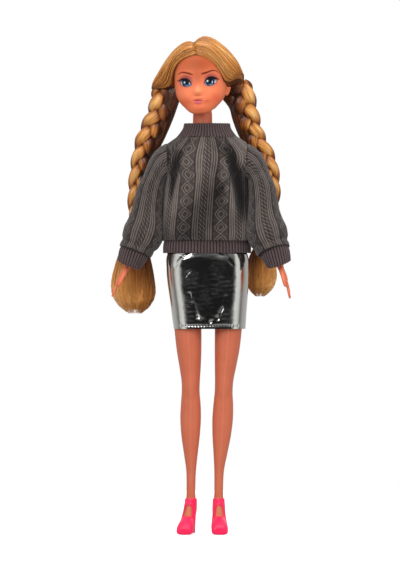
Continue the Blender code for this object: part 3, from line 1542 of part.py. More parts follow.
def build():
    clear_scene()
    pieces = add_collection("fashion_doll")
    cutters = add_collection("cutters")
    cutters.hide_render = True
    stance = add_pivot("stance", Vector((0, 0, 0)), None, pieces)
    stance.location = Vector((STANCE_X, STANCE_Y, 0))
    torso_half("torso_front", True, stance, pieces, cutters)
    torso_half("torso_back", False, stance, pieces, cutters)
    neck_post(stance, pieces)
    hip_axle(stance, pieces, cutters)
    tilt = (0, math.radians(HEAD_ROLL_DEGREES), math.radians(HEAD_TURN_DEGREES))
    head_pivot = add_pivot("neck pivot", neck_place(), stance, pieces, tilt)
    hair_pivot = add_pivot("hanging hair pivot", neck_place(), stance, pieces)
    add_head(head_pivot, pieces, cutters)
    add_hair_cap(head_pivot, pieces, cutters)
    for side, word in SIDES:
        room = grown_sweep(side, word, head_pivot, cutters)
        add_braid(side, word, hair_pivot, pieces, room)
        add_tie(side, word, hair_pivot, pieces)
        add_tail(side, word, hair_pivot, pieces)
        shoulder = add_pivot("shoulder pivot " + word, shoulder_place(side), stance, pieces)
        add_arm(side, word, shoulder, pieces, cutters)
        add_sleeve(side, word, shoulder, pieces)
        hip = add_pivot("hip pivot " + word, hip_place(side), stance, pieces)
        add_leg(side, word, hip, pieces, cutters)
        add_shoe(side, word, hip, pieces, cutters)
    add_sweater(stance, pieces, cutters)
    add_sweater_closure(stance, pieces)
    add_skirt(stance, pieces)
    bpy.context.view_layer.update()


build()
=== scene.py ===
import math

import bmesh
import bpy
import numpy as np
from mathutils import Matrix, Vector


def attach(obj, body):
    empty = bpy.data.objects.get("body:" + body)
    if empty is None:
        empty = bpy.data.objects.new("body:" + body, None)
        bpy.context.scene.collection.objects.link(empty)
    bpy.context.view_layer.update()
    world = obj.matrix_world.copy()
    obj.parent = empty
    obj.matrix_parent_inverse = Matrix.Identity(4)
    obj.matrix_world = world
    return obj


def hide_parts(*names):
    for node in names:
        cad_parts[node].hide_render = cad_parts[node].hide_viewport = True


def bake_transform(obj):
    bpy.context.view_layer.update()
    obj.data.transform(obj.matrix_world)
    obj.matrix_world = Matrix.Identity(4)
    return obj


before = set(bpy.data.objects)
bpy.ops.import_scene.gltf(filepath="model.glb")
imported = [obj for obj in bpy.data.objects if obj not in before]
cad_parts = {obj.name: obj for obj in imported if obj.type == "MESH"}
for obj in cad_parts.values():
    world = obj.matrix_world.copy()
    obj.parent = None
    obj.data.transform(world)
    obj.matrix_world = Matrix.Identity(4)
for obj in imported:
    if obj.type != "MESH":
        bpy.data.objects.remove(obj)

# The dressed fashion doll. Shapes are in millimetres about the doll's own middle plane;
# gridMesh and strandMesh add the stance that the doll has in the frame.
mm = 0.001
stance = np.array((3.5, 0.6, 0.0))
left = 1
right = -1
sides = ((left, "left"), (right, "right"))


def writeSize():
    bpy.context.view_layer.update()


writeSize()

# The photograph's frame, and the camera that takes it; the face is painted through it
photo = {
    "width": 400,
    "height": 570,
    "pixel": 0.5847,  # mm across a pixel at the doll
    "middle": 205.5,  # the doll's middle and soles, in pixels
    "soles": 533,
    "distance": 2400.0,  # mm from the camera to the doll
    "aside": 2.6,  # where the doll's middle is in the frame, mm
}
cameraX = (photo["width"] / 2 - photo["middle"]) * photo["pixel"] + photo["aside"]
cameraZ = (photo["soles"] - photo["height"] / 2) * photo["pixel"]


def photoAt(points):
    # Where points, in millimetres of the frame, show in the photograph, in pixels.
    depth = photo["distance"] / (photo["distance"] + points[:, 1])
    across = photo["width"] / 2 + (points[:, 0] - cameraX) * depth / photo["pixel"]
    down = photo["height"] / 2 - (points[:, 2] - cameraZ) * depth / photo["pixel"]
    return across, down


# Curves and waves


def smoothRead(rows, at):
    # The table's columns at these keys, on a smooth curve through its rows.
    table = np.array(rows, float)
    keys, values = table[:, 0], table[:, 1:]
    at = np.clip(np.asarray(at, float), keys[0], keys[-1])
    slopes = np.gradient(values, keys, axis=0)
    spot = np.clip(np.searchsorted(keys, at, side="right") - 1, 0, len(keys) - 2)
    width = (keys[spot + 1] - keys[spot])[:, None]
    part = (at - keys[spot])[:, None] / width
    low, high = values[spot], values[spot + 1]
    return (
        (2 * part**3 - 3 * part**2 + 1) * low
        + (part**3 - 2 * part**2 + part) * width * slopes[spot]
        + (3 * part**2 - 2 * part**3) * high
        + (part**3 - part**2) * width * slopes[spot + 1]
    )


def step(low, high, value):
    part = np.clip((value - low) / (high - low), 0, 1)
    return part * part * (3 - 2 * part)


def turns(count):
    # Angles evenly spaced once round.
    return np.arange(count) * 2 * math.pi / count


def hill(value, centre, width):
    return np.exp(-(((value - centre) / width) ** 2))


def nearStretch(across, up, start, end):
    # For each place, its share along a straight stretch and its distance from it.
    dx, dy = end[0] - start[0], end[1] - start[1]
    part = np.clip(((across - start[0]) * dx + (up - start[1]) * dy) / max(dx * dx + dy * dy, 1e-9), 0, 1)
    return part, np.hypot(across - start[0] - part * dx, up - start[1] - part * dy)


def denseRings(rings, spacing):
    # Rings added between the given ones, evenly along the loft, on smooth curves through their points.
    rings = np.array(rings, float)
    centres = rings.mean(axis=1)
    radii = np.linalg.norm(rings - centres[:, None], axis=2).mean(axis=1)
    steps = np.hypot(np.linalg.norm(np.diff(centres, axis=0), axis=1), np.diff(radii))
    keys = np.concatenate([[0], np.cumsum(np.maximum(steps, 1e-3))])
    count = max(3, int(keys[-1] / spacing))
    table = np.concatenate([keys[:, None], rings.reshape(len(rings), -1)], axis=1)
    return smoothRead(table, np.linspace(0, keys[-1], count)).reshape(count, rings.shape[1], 3)


def normalsOf(points):
    # Outward unit normals of a grid of points whose columns run round it.
    around = np.roll(points, -1, axis=1) - np.roll(points, 1, axis=1)
    normal = np.cross(around, np.gradient(points, axis=0))
    normal = normal / np.maximum(np.linalg.norm(normal, axis=2, keepdims=True), 1e-9)
    centre = points.mean(axis=1, keepdims=True)
    return -normal if np.sum(normal * (points - centre)) < 0 else normal


def waves(seed, count, low, high):
    # A smooth repeatable noise of two coordinates, from a few plane waves.
    source = np.random.default_rng(seed)
    angles = source.uniform(0, 2 * math.pi, count)
    rates = source.uniform(low, high, count)
    phases = source.uniform(0, 2 * math.pi, count)

    def read(first, second):
        total = 0
        for angle, rate, phase in zip(angles, rates, phases):
            total = total + np.sin(rate * (first * math.cos(angle) + second * math.sin(angle)) + phase)
        return total / math.sqrt(count / 2) / 2

    return read


# Meshes


def gridMesh(name, points, closed=True, looped=False, values=None, uv=(1.0, 1.0), capped=False):
    # A mesh over a grid of points, facing outwards. closed joins the last column to the first, looped
    # the last row to the first; the open ends get a face each. uv is two counts, or two grids.
    rows, cols = points.shape[:2]
    rowSpan = rows if looped else rows - 1
    colSpan = cols if closed else cols - 1
    r, c = np.meshgrid(np.arange(rowSpan), np.arange(colSpan), indexing="ij")
    nextR, nextC = (r + 1) % rows, (c + 1) % cols
    corners = (r * cols + c, r * cols + nextC, nextR * cols + nextC, nextR * cols + c)
    quads = np.stack(corners, -1).reshape(-1, 4)
    flat = points.reshape(-1, 3)
    p = flat[quads]
    volume = np.sum(p[:, 0] * np.cross(p[:, 1], p[:, 2])) + np.sum(p[:, 0] * np.cross(p[:, 2], p[:, 3]))
    inward = volume < 0
    if inward:
        quads = quads[:, ::-1]
    faces = quads.tolist()
    if closed and not looped:
        for start, turn in ((0, 1), ((rows - 1) * cols, -1)):
            ring = list(range(start, start + cols))
            faces.append(ring[::turn] if inward else ring[::-turn])
    if capped:
        for start, turn in ((0, 1), (cols - 1, -1)):
            ring = [row * cols + start for row in range(rows)]
            faces.append(ring[::-turn] if inward else ring[::turn])
    mesh = bpy.data.meshes.new(name)
    mesh.from_pydata(((flat + stance) * mm).tolist(), [], faces)
    if isinstance(uv[0], float):
        u = np.arange(cols + 1) / colSpan * uv[0]
        v = np.arange(rows + 1) / max(1, rowSpan) * uv[1]
        cu = np.stack([u[c], u[c + 1], u[c + 1], u[c]], -1).reshape(-1, 4)
        cv = np.stack([v[r], v[r], v[r + 1], v[r + 1]], -1).reshape(-1, 4)
        if inward:
            cu, cv = cu[:, ::-1], cv[:, ::-1]
    else:
        cu, cv = uv[0].reshape(-1)[quads], uv[1].reshape(-1)[quads]
    corner = np.zeros((len(mesh.loops), 2), np.float32)
    corner[: cu.size, 0], corner[: cu.size, 1] = cu.reshape(-1), cv.reshape(-1)
    mesh.uv_layers.new(name="UVMap").data.foreach_set("uv", corner.reshape(-1))
    for key, value in (values or {}).items():
        giveValues(mesh, key, value)
    return mesh


def giveValues(mesh, key, value):
    value = np.asarray(value, np.float32)
    if value.ndim and value.shape[-1] == 4:
        layer = mesh.attributes.new(key, "FLOAT_COLOR", "POINT")
        layer.data.foreach_set("color", value.reshape(-1))
    else:
        layer = mesh.attributes.new(key, "FLOAT", "POINT")
        layer.data.foreach_set("value", value.reshape(-1))


def strandMesh(name, paths, radii, tones, flatness=1.0):
    # Tapered four-sided strands along paths of n strands by k points, as one mesh.
    count = 4
    number, length = paths.shape[:2]
    tangent = np.gradient(paths, axis=1)
    tangent /= np.maximum(np.linalg.norm(tangent, axis=2, keepdims=True), 1e-9)
    across = np.cross(tangent, np.array((0.12, 1.0, 0.1)))
    across /= np.maximum(np.linalg.norm(across, axis=2, keepdims=True), 1e-9)
    out = np.cross(across, tangent)
    wide = np.cos(turns(count))[None, None, :, None]
    deep = (np.sin(turns(count)) * flatness)[None, None, :, None]
    ring = across[:, :, None] * wide + out[:, :, None] * deep
    points = paths[:, :, None] + ring * radii[:, :, None, None]
    n, r, c = np.meshgrid(np.arange(number), np.arange(length - 1), np.arange(count), indexing="ij")
    after = (c + 1) % count
    base = (n * length + r) * count
    above = base + count
    quads = np.stack([base + c, above + c, above + after, base + after], -1).reshape(-1, 4)
    starts = np.arange(number) * length * count
    first = (starts[:, None] + np.arange(count)[None, :]).tolist()
    last = (starts[:, None] + (length - 1) * count + np.arange(count)[::-1][None, :]).tolist()
    mesh = bpy.data.meshes.new(name)
    mesh.from_pydata(((points.reshape(-1, 3) + stance) * mm).tolist(), [], quads.tolist() + first + last)
    u = (c / count + n * 0.37) % 1.0
    v = r / (length - 1)
    rise = 1 / (length - 1)
    corner = np.zeros((len(mesh.loops), 2), np.float32)
    corner[: u.size * 4, 0] = np.stack([u, u, u + 1 / count, u + 1 / count], -1).reshape(-1)
    corner[: u.size * 4, 1] = np.stack([v, v + rise, v + rise, v], -1).reshape(-1)
    mesh.uv_layers.new(name="UVMap").data.foreach_set("uv", corner.reshape(-1))
    giveValues(mesh, "tone", np.repeat(tones.reshape(-1), count))
    return mesh


def showPiece(name, mesh, material, body, stands=(), sharp=None):
    # A finished piece that rides on a body; where body is None, it is left unattached.
    mesh.materials.clear()
    mesh.materials.append(material)
    mesh.shade_smooth()
    if sharp:
        mesh.set_sharp_from_angle(angle=math.radians(sharp))
    piece = bpy.data.objects.new(name, mesh)
    bpy.context.scene.collection.objects.link(piece)
    if body:
        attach(piece, body)
    if stands:
        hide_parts(*stands)
    return piece


def applied(piece):
    # The piece's mesh with its modifiers applied, the piece itself removed.
    bpy.context.view_layer.update()
    mesh = bpy.data.meshes.new_from_object(piece.evaluated_get(bpy.context.evaluated_depsgraph_get()))
    bpy.data.objects.remove(piece, do_unlink=True)
    return mesh


def loosePiece(name, mesh):
    piece = bpy.data.objects.new(name, mesh)
    bpy.context.scene.collection.objects.link(piece)
    return piece


def joined(name, meshes):
    # Several meshes as one; the parts are removed.
    shape = bmesh.new()
    for mesh in meshes:
        shape.from_mesh(mesh)
        bpy.data.meshes.remove(mesh)
    whole = bpy.data.meshes.new(name)
    shape.to_mesh(whole)
    shape.free()
    return whole


def fused(name, meshes, voxel, rounds, cuts=()):
    # Closed meshes melted into one moulding by a voxel remesh, after cutting the cuts away.
    piece = loosePiece(name, joined(name, meshes))

    def melt():
        modifier = piece.modifiers.new("melt", "REMESH")
        modifier.mode = "VOXEL"
        modifier.voxel_size = voxel * mm

    melt()
    tools = [loosePiece(name + ".cut" + str(number), cut) for number, cut in enumerate(cuts)]
    for tool in tools:
        modifier = piece.modifiers.new("cut", "BOOLEAN")
        modifier.operation = "DIFFERENCE"
        modifier.object = tool
        modifier.solver = "EXACT"
    if cuts:
        melt()
    soften = piece.modifiers.new("soften", "SMOOTH")
    soften.factor = 0.5
    soften.iterations = rounds
    mesh = applied(piece)
    for tool in tools:
        bpy.data.objects.remove(tool, do_unlink=True)
    return mesh


# Materials


def linear(code):
    # A linear colour from an sRGB hex code.
    values = [int(code[place : place + 2], 16) / 255 for place in (1, 3, 5)]
    return tuple(v / 12.92 if v <= 0.04045 else ((v + 0.055) / 1.055) ** 2.4 for v in values) + (1.0,)


def addNode(tree, kind, settings=None, inputs=None, stops=()):
    # A node with its settings, its links or values, and its colour ramp's stops.
    node = tree.nodes.new(kind)
    for key, value in (settings or {}).items():
        setattr(node, key, value)
    for key, value in (inputs or {}).items():
        if isinstance(value, bpy.types.NodeSocket):
            tree.links.new(value, node.inputs[key])
        else:
            node.inputs[key].default_value = value
    for number, (place, colour) in enumerate(stops):
        points = node.color_ramp.elements
        point = points[number] if number < len(points) else points.new(place)
        point.position = place
        point.color = colour if len(colour) == 4 else (*colour, 1)
    return node


def newMaterial(name, settings):
    # A material, its tree and its shader, with constants on the shader's own sockets.
    material = bpy.data.materials.new(name)
    material.use_nodes = True
    tree = material.node_tree
    shader = tree.nodes["Principled BSDF"]
    for key, value in settings.items():
        shader.inputs[key].default_value = value
    return material, tree, shader


def layered(tree, value, parts):
    # A value with shares of other values laid on it, one after another.
    for part, share in parts:
        inputs = {0: part, 1: share, 2: value}
        value = addNode(tree, "ShaderNodeMath", {"operation": "MULTIPLY_ADD"}, inputs).outputs[0]
    return value


def clouds(tree, place, rows):
    # Cloudy values over a place: each row has a stretch, a scale, a detail and a roughness.
    made = []
    for stretch, scale, detail, rough in rows:
        spot = addNode(
            tree, "ShaderNodeMapping", None, {"Vector": place, "Scale": stretch}
        ).outputs["Vector"]
        inputs = {"Vector": spot, "Scale": scale, "Detail": detail, "Roughness": rough}
        made.append(addNode(tree, "ShaderNodeTexNoise", None, inputs).outputs["Fac"])
    return made


def wire(tree, shader, colour, rough, relief, strength, height):
    # The shader's colour, roughness and fine relief; height is in metres.
    inputs = {"Height": relief, "Strength": strength, "Distance": height}
    normal = addNode(tree, "ShaderNodeBump", None, inputs).outputs["Normal"]
    for key, socket in (("Base Color", colour), ("Roughness", rough), ("Normal", normal)):
        if socket:
            tree.links.new(socket, shader.inputs[key])


def skinMaterial(name, colour, deep, painted=False):
    # Soft moulded vinyl: satin, faintly translucent, with a pore-fine grain.
    settings = {
        "Roughness": 0.42,
        "IOR": 1.46,
        "Subsurface Weight": 0.10,
        "Subsurface Scale": 0.0012,
        "Subsurface Radius": (1.0, 0.35, 0.2),
        "Coat Weight": 0.0 if painted else 0.06,
        "Coat Roughness": 0.35,
        "Specular IOR Level": 0.22 if painted else 0.5,
    }
    material, tree, shader = newMaterial(name, settings)
    place = addNode(tree, "ShaderNodeTexCoord").outputs["Object"]
    rows = [((1, 1, 1), scale, 2.0, 0.5) for scale in (160.0, 700.0, 2600.0)]
    cloud, satin, pores = clouds(tree, place, rows)
    inputs = {0: cloud, 6: linear(colour), 7: linear(deep)}
    tint = addNode(tree, "ShaderNodeMix", {"data_type": "RGBA"}, inputs).outputs[2]
    if painted:
        over = addNode(tree, "ShaderNodeAttribute", {"attribute_name": "paint"}).outputs["Color"]
        share = addNode(tree, "ShaderNodeAttribute", {"attribute_name": "cover"}).outputs["Fac"]
    else:
        over = linear("#f2a98a")
        seam = addNode(tree, "ShaderNodeAttribute", {"attribute_name": "seam"}).outputs["Fac"]
        share = layered(tree, 0.0, ((seam, 0.16),))
    tint = addNode(tree, "ShaderNodeMix", {"data_type": "RGBA"}, {0: share, 6: tint, 7: over}).outputs[2]
    rough = layered(tree, 0.42 if painted else 0.38, ((satin, 0.12),))
    wire(tree, shader, tint, rough, pores, 0.05, 0.0001)
    return material


def hairMaterial(name):
    # Nylon hair: bright, silky fibres lying along the lock, golden with darker roots; each piece's tone
    # adds painted highlights and painted shade in the gaps.
    material, tree, shader = newMaterial(name, {"IOR": 1.52, "Anisotropic": 0.75})
    place = addNode(tree, "ShaderNodeUVMap", {"uv_map": "UVMap"}).outputs["UV"]
    rows = (((90.0, 1.6, 1.0), 4.0, 4.0, 0.65), ((14.0, 0.9, 1.0), 3.0, 3.0, 0.5))
    fine, broad = clouds(tree, place, rows)
    tone = addNode(tree, "ShaderNodeAttribute", {"attribute_name": "tone"}).outputs["Fac"]
    level = layered(tree, -0.22, ((fine, 0.55), (broad, 0.35), (tone, 0.55)))
    stops = (
        (0.10, linear("#351604")),
        (0.30, linear("#74390c")),
        (0.48, linear("#b46d28")),
        (0.64, linear("#d8964a")),
        (0.82, linear("#eebb78")),
        (0.97, linear("#fbdfae")),
    )
    tint = addNode(tree, "ShaderNodeValToRGB", None, {"Fac": level}, stops).outputs["Color"]
    tangent = addNode(tree, "ShaderNodeTangent", {"direction_type": "UV_MAP", "uv_map": "UVMap"})
    tree.links.new(tangent.outputs["Tangent"], shader.inputs["Tangent"])
    wire(tree, shader, tint, layered(tree, 0.22, ((fine, 0.22),)), fine, 0.35, 0.0003)
    return material


def knitMaterial(name, ridge, middle, groove):
    # Fine matt yarn: each stitch a small V with a faint fuzz, and painted shade in its grooves; the tone
    # brings painted light and shade of the relief and folds.
    settings = {"IOR": 1.4, "Sheen Weight": 0.25, "Sheen Roughness": 0.5, "Specular IOR Level": 0.2}
    material, tree, shader = newMaterial(name, settings)
    tone = addNode(tree, "ShaderNodeAttribute", {"attribute_name": "tone"}).outputs["Fac"]
    place = addNode(tree, "ShaderNodeUVMap", {"uv_map": "UVMap"}).outputs["UV"]
    # Stitches: 0.62 mm wide and 0.5 mm high; a UV unit is 10 mm
    axes = addNode(tree, "ShaderNodeSeparateXYZ", None, {"Vector": place})
    across = layered(tree, 0.0, ((axes.outputs["X"], 2 * math.pi / 0.062),))
    lean = addNode(tree, "ShaderNodeMath", {"operation": "COSINE"}, {0: across}).outputs[0]
    phase = layered(tree, 0.0, ((axes.outputs["Y"], 2 * math.pi / 0.05), (lean, 1.3)))
    wave = addNode(tree, "ShaderNodeMath", {"operation": "SINE"}, {0: phase}).outputs[0]
    stitch = layered(tree, 0.5, ((wave, 0.5),))
    fuzz, worn = clouds(tree, place, (((1, 1, 1), 90.0, 4.0, 0.7), ((1, 1, 1), 2.2, 3.0, 0.5)))
    level = layered(tree, -0.575, ((tone, 1.0), (stitch, 0.30), (fuzz, 0.55), (worn, 0.30)))
    # groove is the painted shade colour, ridge the painted light colour
    stops = ((0.05, linear(groove)), (0.5, linear(middle)), (0.95, linear(ridge)))
    tint = addNode(tree, "ShaderNodeValToRGB", None, {"Fac": level}, stops).outputs["Color"]
    relief = layered(tree, 0.0, ((stitch, 0.6), (fuzz, 0.5)))
    wire(tree, shader, tint, layered(tree, 0.72, ((fuzz, 0.2),)), relief, 0.5, 0.00025)
    return material


def foilMaterial(name):
    # Metal foil laminated on cloth: mirror bright, finely crinkled across, with dull creases.
    material, tree, shader = newMaterial(name, {"Metallic": 1.0, "Base Color": linear("#dcdcda")})
    place = addNode(tree, "ShaderNodeUVMap", {"uv_map": "UVMap"}).outputs["UV"]
    rows = (((1.0, 4.2, 1.0), 5.5, 4.0, 0.6), ((1, 1, 1), 0.9, 2.0, 0.5), ((1.6, 1.0, 1.0), 42.0, 2.0, 0.5))
    fine, patch, weave = clouds(tree, place, rows)
    crease = addNode(tree, "ShaderNodeAttribute", {"attribute_name": "tone"}).outputs["Fac"]
    stops = ((0.42, (0.08, 0.08, 0.08)), (0.60, (1.0, 1.0, 1.0)))
    strength = addNode(tree, "ShaderNodeValToRGB", None, {"Fac": patch}, stops).outputs["Color"]
    rough = layered(tree, 0.05, ((fine, 0.10), (crease, 0.12)))
    relief = layered(tree, 0.0, ((fine, strength), (weave, 0.08)))
    wire(tree, shader, None, rough, relief, 0.6, 0.00010)
    return material


def plainMaterial(name, colour, deep, settings, scale, depth=0.1):
    # A moulded or drawn finish: slight colour clouding, roughness that varies, and a fine grain.
    material, tree, shader = newMaterial(name, settings)
    place = addNode(tree, "ShaderNodeTexCoord").outputs["Object"]
    rows = (
        ((1, 1, 1), scale, 3.0, 0.5), ((1, 1, 1), scale * 4, 2.0, 0.5), ((1, 1, 1), scale * 6, 2.0, 0.5)
    )
    cloud, satin, grain = clouds(tree, place, rows)
    inputs = {0: cloud, 6: linear(colour), 7: linear(deep)}
    tint = addNode(tree, "ShaderNodeMix", {"data_type": "RGBA"}, inputs).outputs[2]
    rough = layered(tree, settings["Roughness"] - 0.06, ((satin, 0.12),))
    wire(tree, shader, tint, rough, grain, depth, 0.0002)
    return material


bodySkin = skinMaterial("vinyl_body", "#cb6b4c", "#c26445")
armSkin = skinMaterial("vinyl_arm", "#df7550", "#d66d49")
faceSkin = skinMaterial("vinyl_face", "#ee855c", "#e87c53", painted=True)
hairFibre = hairMaterial("hair_nylon")
knit = knitMaterial("knit_wool", "#7f746d", "#453d3a", "#120e0d")
ribKnit = knitMaterial("knit_rib", "#604e4e", "#392e2e", "#100b0c")
foil = foilMaterial("foil_silver")
shoeVinyl = plainMaterial(
    "vinyl_shoe", "#ff1d5c", "#f21550", {
        "Roughness": 0.36, "Subsurface Weight": 0.08, "Subsurface Scale": 0.001
    }, 300.0
)
tieRubber = plainMaterial("rubber_tie", "#b98a4c", "#a67638", {"Roughness": 0.5}, 500.0)
hookTape = plainMaterial("woven_tape", "#4a4243", "#342d2e", {"Roughness": 0.85}, 1500.0, 0.5)
postPlastic = plainMaterial("hard_plastic", "#e6dccb", "#d8cdb9", {"Roughness": 0.35}, 300.0)
axleSteel = plainMaterial("drawn_steel", "#b9b9b6", "#9d9d9b", {"Metallic": 1.0, "Roughness": 0.3}, 600.0)
print("materials made")

# Head: rows of height, half width, front, back and widest place, upwards from the chin, above the neck's
# top
head = {
    # The face's swells and hollows: how far out, how far aside, half width, height and half height.
    # They are the sockets, lids, brows, cheeks and mouth corners, then the lips and the chin.
    "relief": (
        (-1.0, 6.4, 4.2, 16.0, 2.9),
        (0.75, 6.5, 3.1, 15.6, 2.2),
        (0.35, 6.2, 4.5, 20.6, 1.6),
        (0.65, 8.2, 4.4, 8.0, 4.2),
        (-0.14, 3.6, 1.1, 5.2, 1.0),
        (0.55, 0, 3.2, 5.6, 0.75),
        (-0.1925, 0, 0.494, 5.6, 0.75),
        (0.75, 0, 2.5, 3.75, 0.75),
        (-0.30, 0, 2.6, 4.95, 0.32),
        (-0.20, 0, 0.6, 7.3, 0.9),
        (-0.40, 0, 3.2, 2.0, 0.8),
        (0.75, 0, 3.2, -0.4, 1.9),
    ),
    "seat": 247.9,
    "lean": -2.6,
    "rows": (
        (0, -3.2, 2.4, 13.6, -11.0, -12.2),
        (1, -2.95, 4.1, 14.4, -9.6, -11.4),
        (2, -2.35, 5.6, 14.95, -8.4, -10.4),
        (3, -1.4, 6.95, 15.35, -6.8, -9.2),
        (4, -0.75, 7.7, 15.5, -1.5, -8.4),
        (5, -0.35, 8.15, 15.6, 6.0, -7.8),
        (6, 1.2, 9.6, 15.75, 7.8, -6.2),
        (7, 2.8, 11.1, 15.85, 9.5, -4.6),
        (8, 5.2, 12.95, 15.9, 11.4, -2.6),
        (9, 8.6, 14.4, 15.75, 13.2, -1.2),
        (10, 12.2, 15.0, 15.4, 14.8, -0.3),
        (11, 17.2, 15.3, 15.1, 16.3, 0.6),
        (12, 22.3, 15.3, 14.8, 17.0, 1.1),
        (13, 27.4, 14.5, 14.0, 17.0, 1.5),
        (14, 31.5, 12.8, 12.2, 15.5, 1.6),
        (15, 34.5, 9.7, 9.5, 12.6, 1.5),
        (16, 36.5, 5.8, 6.0, 8.2, 1.1),
        (17, 37.4, 2.2, 2.6, 4.1, 0.7),
        (18, 37.5, 0.3, 0.4, 0.9, 0.2),
    ),
}
headTurn = Matrix.Rotation(math.radians(-7), 3, "Z") @ Matrix.Rotation(math.radians(-4), 3, "Y")
headTurn = np.array(headTurn)


def headPlace(points):
    # Points of the upright head, from its middle at the neck's top, to the doll's plane.
    flat = points.reshape(-1, 3) + np.array((0, 0, head["seat"] - 247))
    return (flat @ headTurn.T + np.array((head["lean"], 0, 247))).reshape(points.shape)


def levelOval(centre, halfWidth, front, back, count):
    # A level oval whose points match limbRing's for a limb that runs down.
    angle = turns(count)
    depth = np.where(np.sin(angle) > 0, back, front)
    return centre + np.column_stack([halfWidth * np.cos(angle), depth * np.sin(angle), 0 * angle])


def spread(cost, count):
    # Where along a curve to put this many points, given the cost of each of its steps.
    total = np.concatenate([[0], np.cumsum(cost)])
    return np.interp(np.linspace(0, total[-1], count), total, np.arange(len(total)))


def headGrid(rowCount, colCount):
    fine = np.linspace(0, 18, 3000)
    table = smoothRead(head["rows"], fine)
    length = np.hypot(np.diff(table[:, 0]), np.hypot(np.diff(table[:, 2]), 0.4 * np.diff(table[:, 3])))
    middle = (table[1:, 0] + table[:-1, 0]) / 2
    cost = length * np.where(middle < 25, 1 / 0.15, 1 / 0.5)
    rows = smoothRead(head["rows"], fine[spread(cost, rowCount).round().astype(int).clip(0, 2999)])
    angles = np.linspace(-math.pi, math.pi, 3001)
    ring = np.stack([15 * np.sin(angles), -15.5 * np.cos(angles)], 1)
    arc = np.hypot(*np.diff(ring, axis=0).T)
    mid = (angles[1:] + angles[:-1]) / 2
    cost = arc * np.where(
        np.abs(15 * np.sin(mid) * 1.0) + 100 * (np.cos(mid) < 0) < 12.6, 1 / 0.15, 1 / 0.75
    )
    total = np.concatenate([[0], np.cumsum(cost)])
    theta = np.interp(np.arange(colCount) / colCount * total[-1], total, angles)
    power = 2 / 2.22
    across = np.sign(np.sin(theta)) * np.abs(np.sin(theta)) ** power
    ahead = np.sign(np.cos(theta)) * np.abs(np.cos(theta)) ** power
    z, width, front, back, widest = (rows[:, column][:, None] for column in range(5))
    reach = np.where(ahead[None] > 0, front + widest, back - widest)
    return np.stack([width * across[None], widest - reach * ahead[None], z + 0 * across[None]], -1)


def faceRelief(x, z):
    # How far the upright face stands out, in millimetres.
    ridge = step(17.8, 10.6, z) * step(6.6, 10.0, z)
    nose = 1.9 * np.exp(
        -((x / (1.8 + 0.75 * step(16, 9, z))) ** 2)
    ) * ridge * (0.30 + 0.70 * step(17, 10.4, z))
    wings = 0.20 * (hill(x, 1.55, 0.75) + hill(x, -1.55, 0.75)) * hill(z, 9.5, 0.85)
    out = nose + wings
    for height, aside, wide, up, tall in head["relief"]:
        for side in (-1, 1) if aside else (1,):
            out = out + height * hill(x, side * aside, wide) * hill(z, up, tall)
    return out


class Paint:
    # Colour and coverage laid over the face, in the photograph's pixels.

    def __init__(self, across, down):
        self.across = across
        self.down = down
        self.colour = np.zeros((len(across), 3))
        self.cover = np.zeros(len(across))

    def lay(self, code, mask, strength=1.0):
        mask = np.clip(mask * strength, 0, 1)
        tint = np.array(linear(code)[:3])
        total = self.cover + mask * (1 - self.cover)
        share = np.where(total > 1e-6, mask / np.maximum(total, 1e-6), 0)[:, None]
        self.colour = self.colour * (1 - share) + tint * share
        self.cover = total

    def oval(self, centre, radii, edge=0.25):
        first = (self.across - centre[0]) / radii[0]
        second = (self.down - centre[1]) / radii[1]
        distance = (1 - np.hypot(first, second)) * min(radii)
        return step(-edge, edge, distance)

    def soft(self, centre, radii):
        return np.exp(
            -(((self.across - centre[0]) / radii[0]) ** 2) - ((self.down - centre[1]) / radii[1]) ** 2
        )

    def stroke(self, points, edge=0.2):
        # A brush stroke through points of place and half thickness.
        table = np.array([(n, *point) for n, point in enumerate(points)], float)
        line = smoothRead(table, np.linspace(0, len(points) - 1, 48))
        best = np.full(len(self.across), -9.0)
        for (ax, ay, ar), (bx, by, br) in zip(line, line[1:]):
            part, gap = nearStretch(self.across, self.down, (ax, ay), (bx, by))
            best = np.maximum(best, ar + part * (br - ar) - gap)
        return step(-edge, edge, best)

    def inside(self, outline, edge=0.25):
        # Within a smooth closed outline.
        points = np.array(list(outline) + [outline[0]], float)
        table = np.column_stack([np.arange(len(points)), points])
        line = smoothRead(table, np.linspace(0, len(points) - 1, 80))
        crossing = np.zeros(len(self.across), bool)
        gap = np.full(len(self.across), 1e9)
        for (ax, ay), (bx, by) in zip(line, line[1:]):
            gap = np.minimum(gap, nearStretch(self.across, self.down, (ax, ay), (bx, by))[1])
            if ay != by:
                hits = (self.down > min(ay, by)) & (self.down <= max(ay, by))
                crossing ^= hits & (self.across < ax + (self.down - ay) / (by - ay) * (bx - ax))
        return step(-edge, edge, np.where(crossing, gap, -gap))


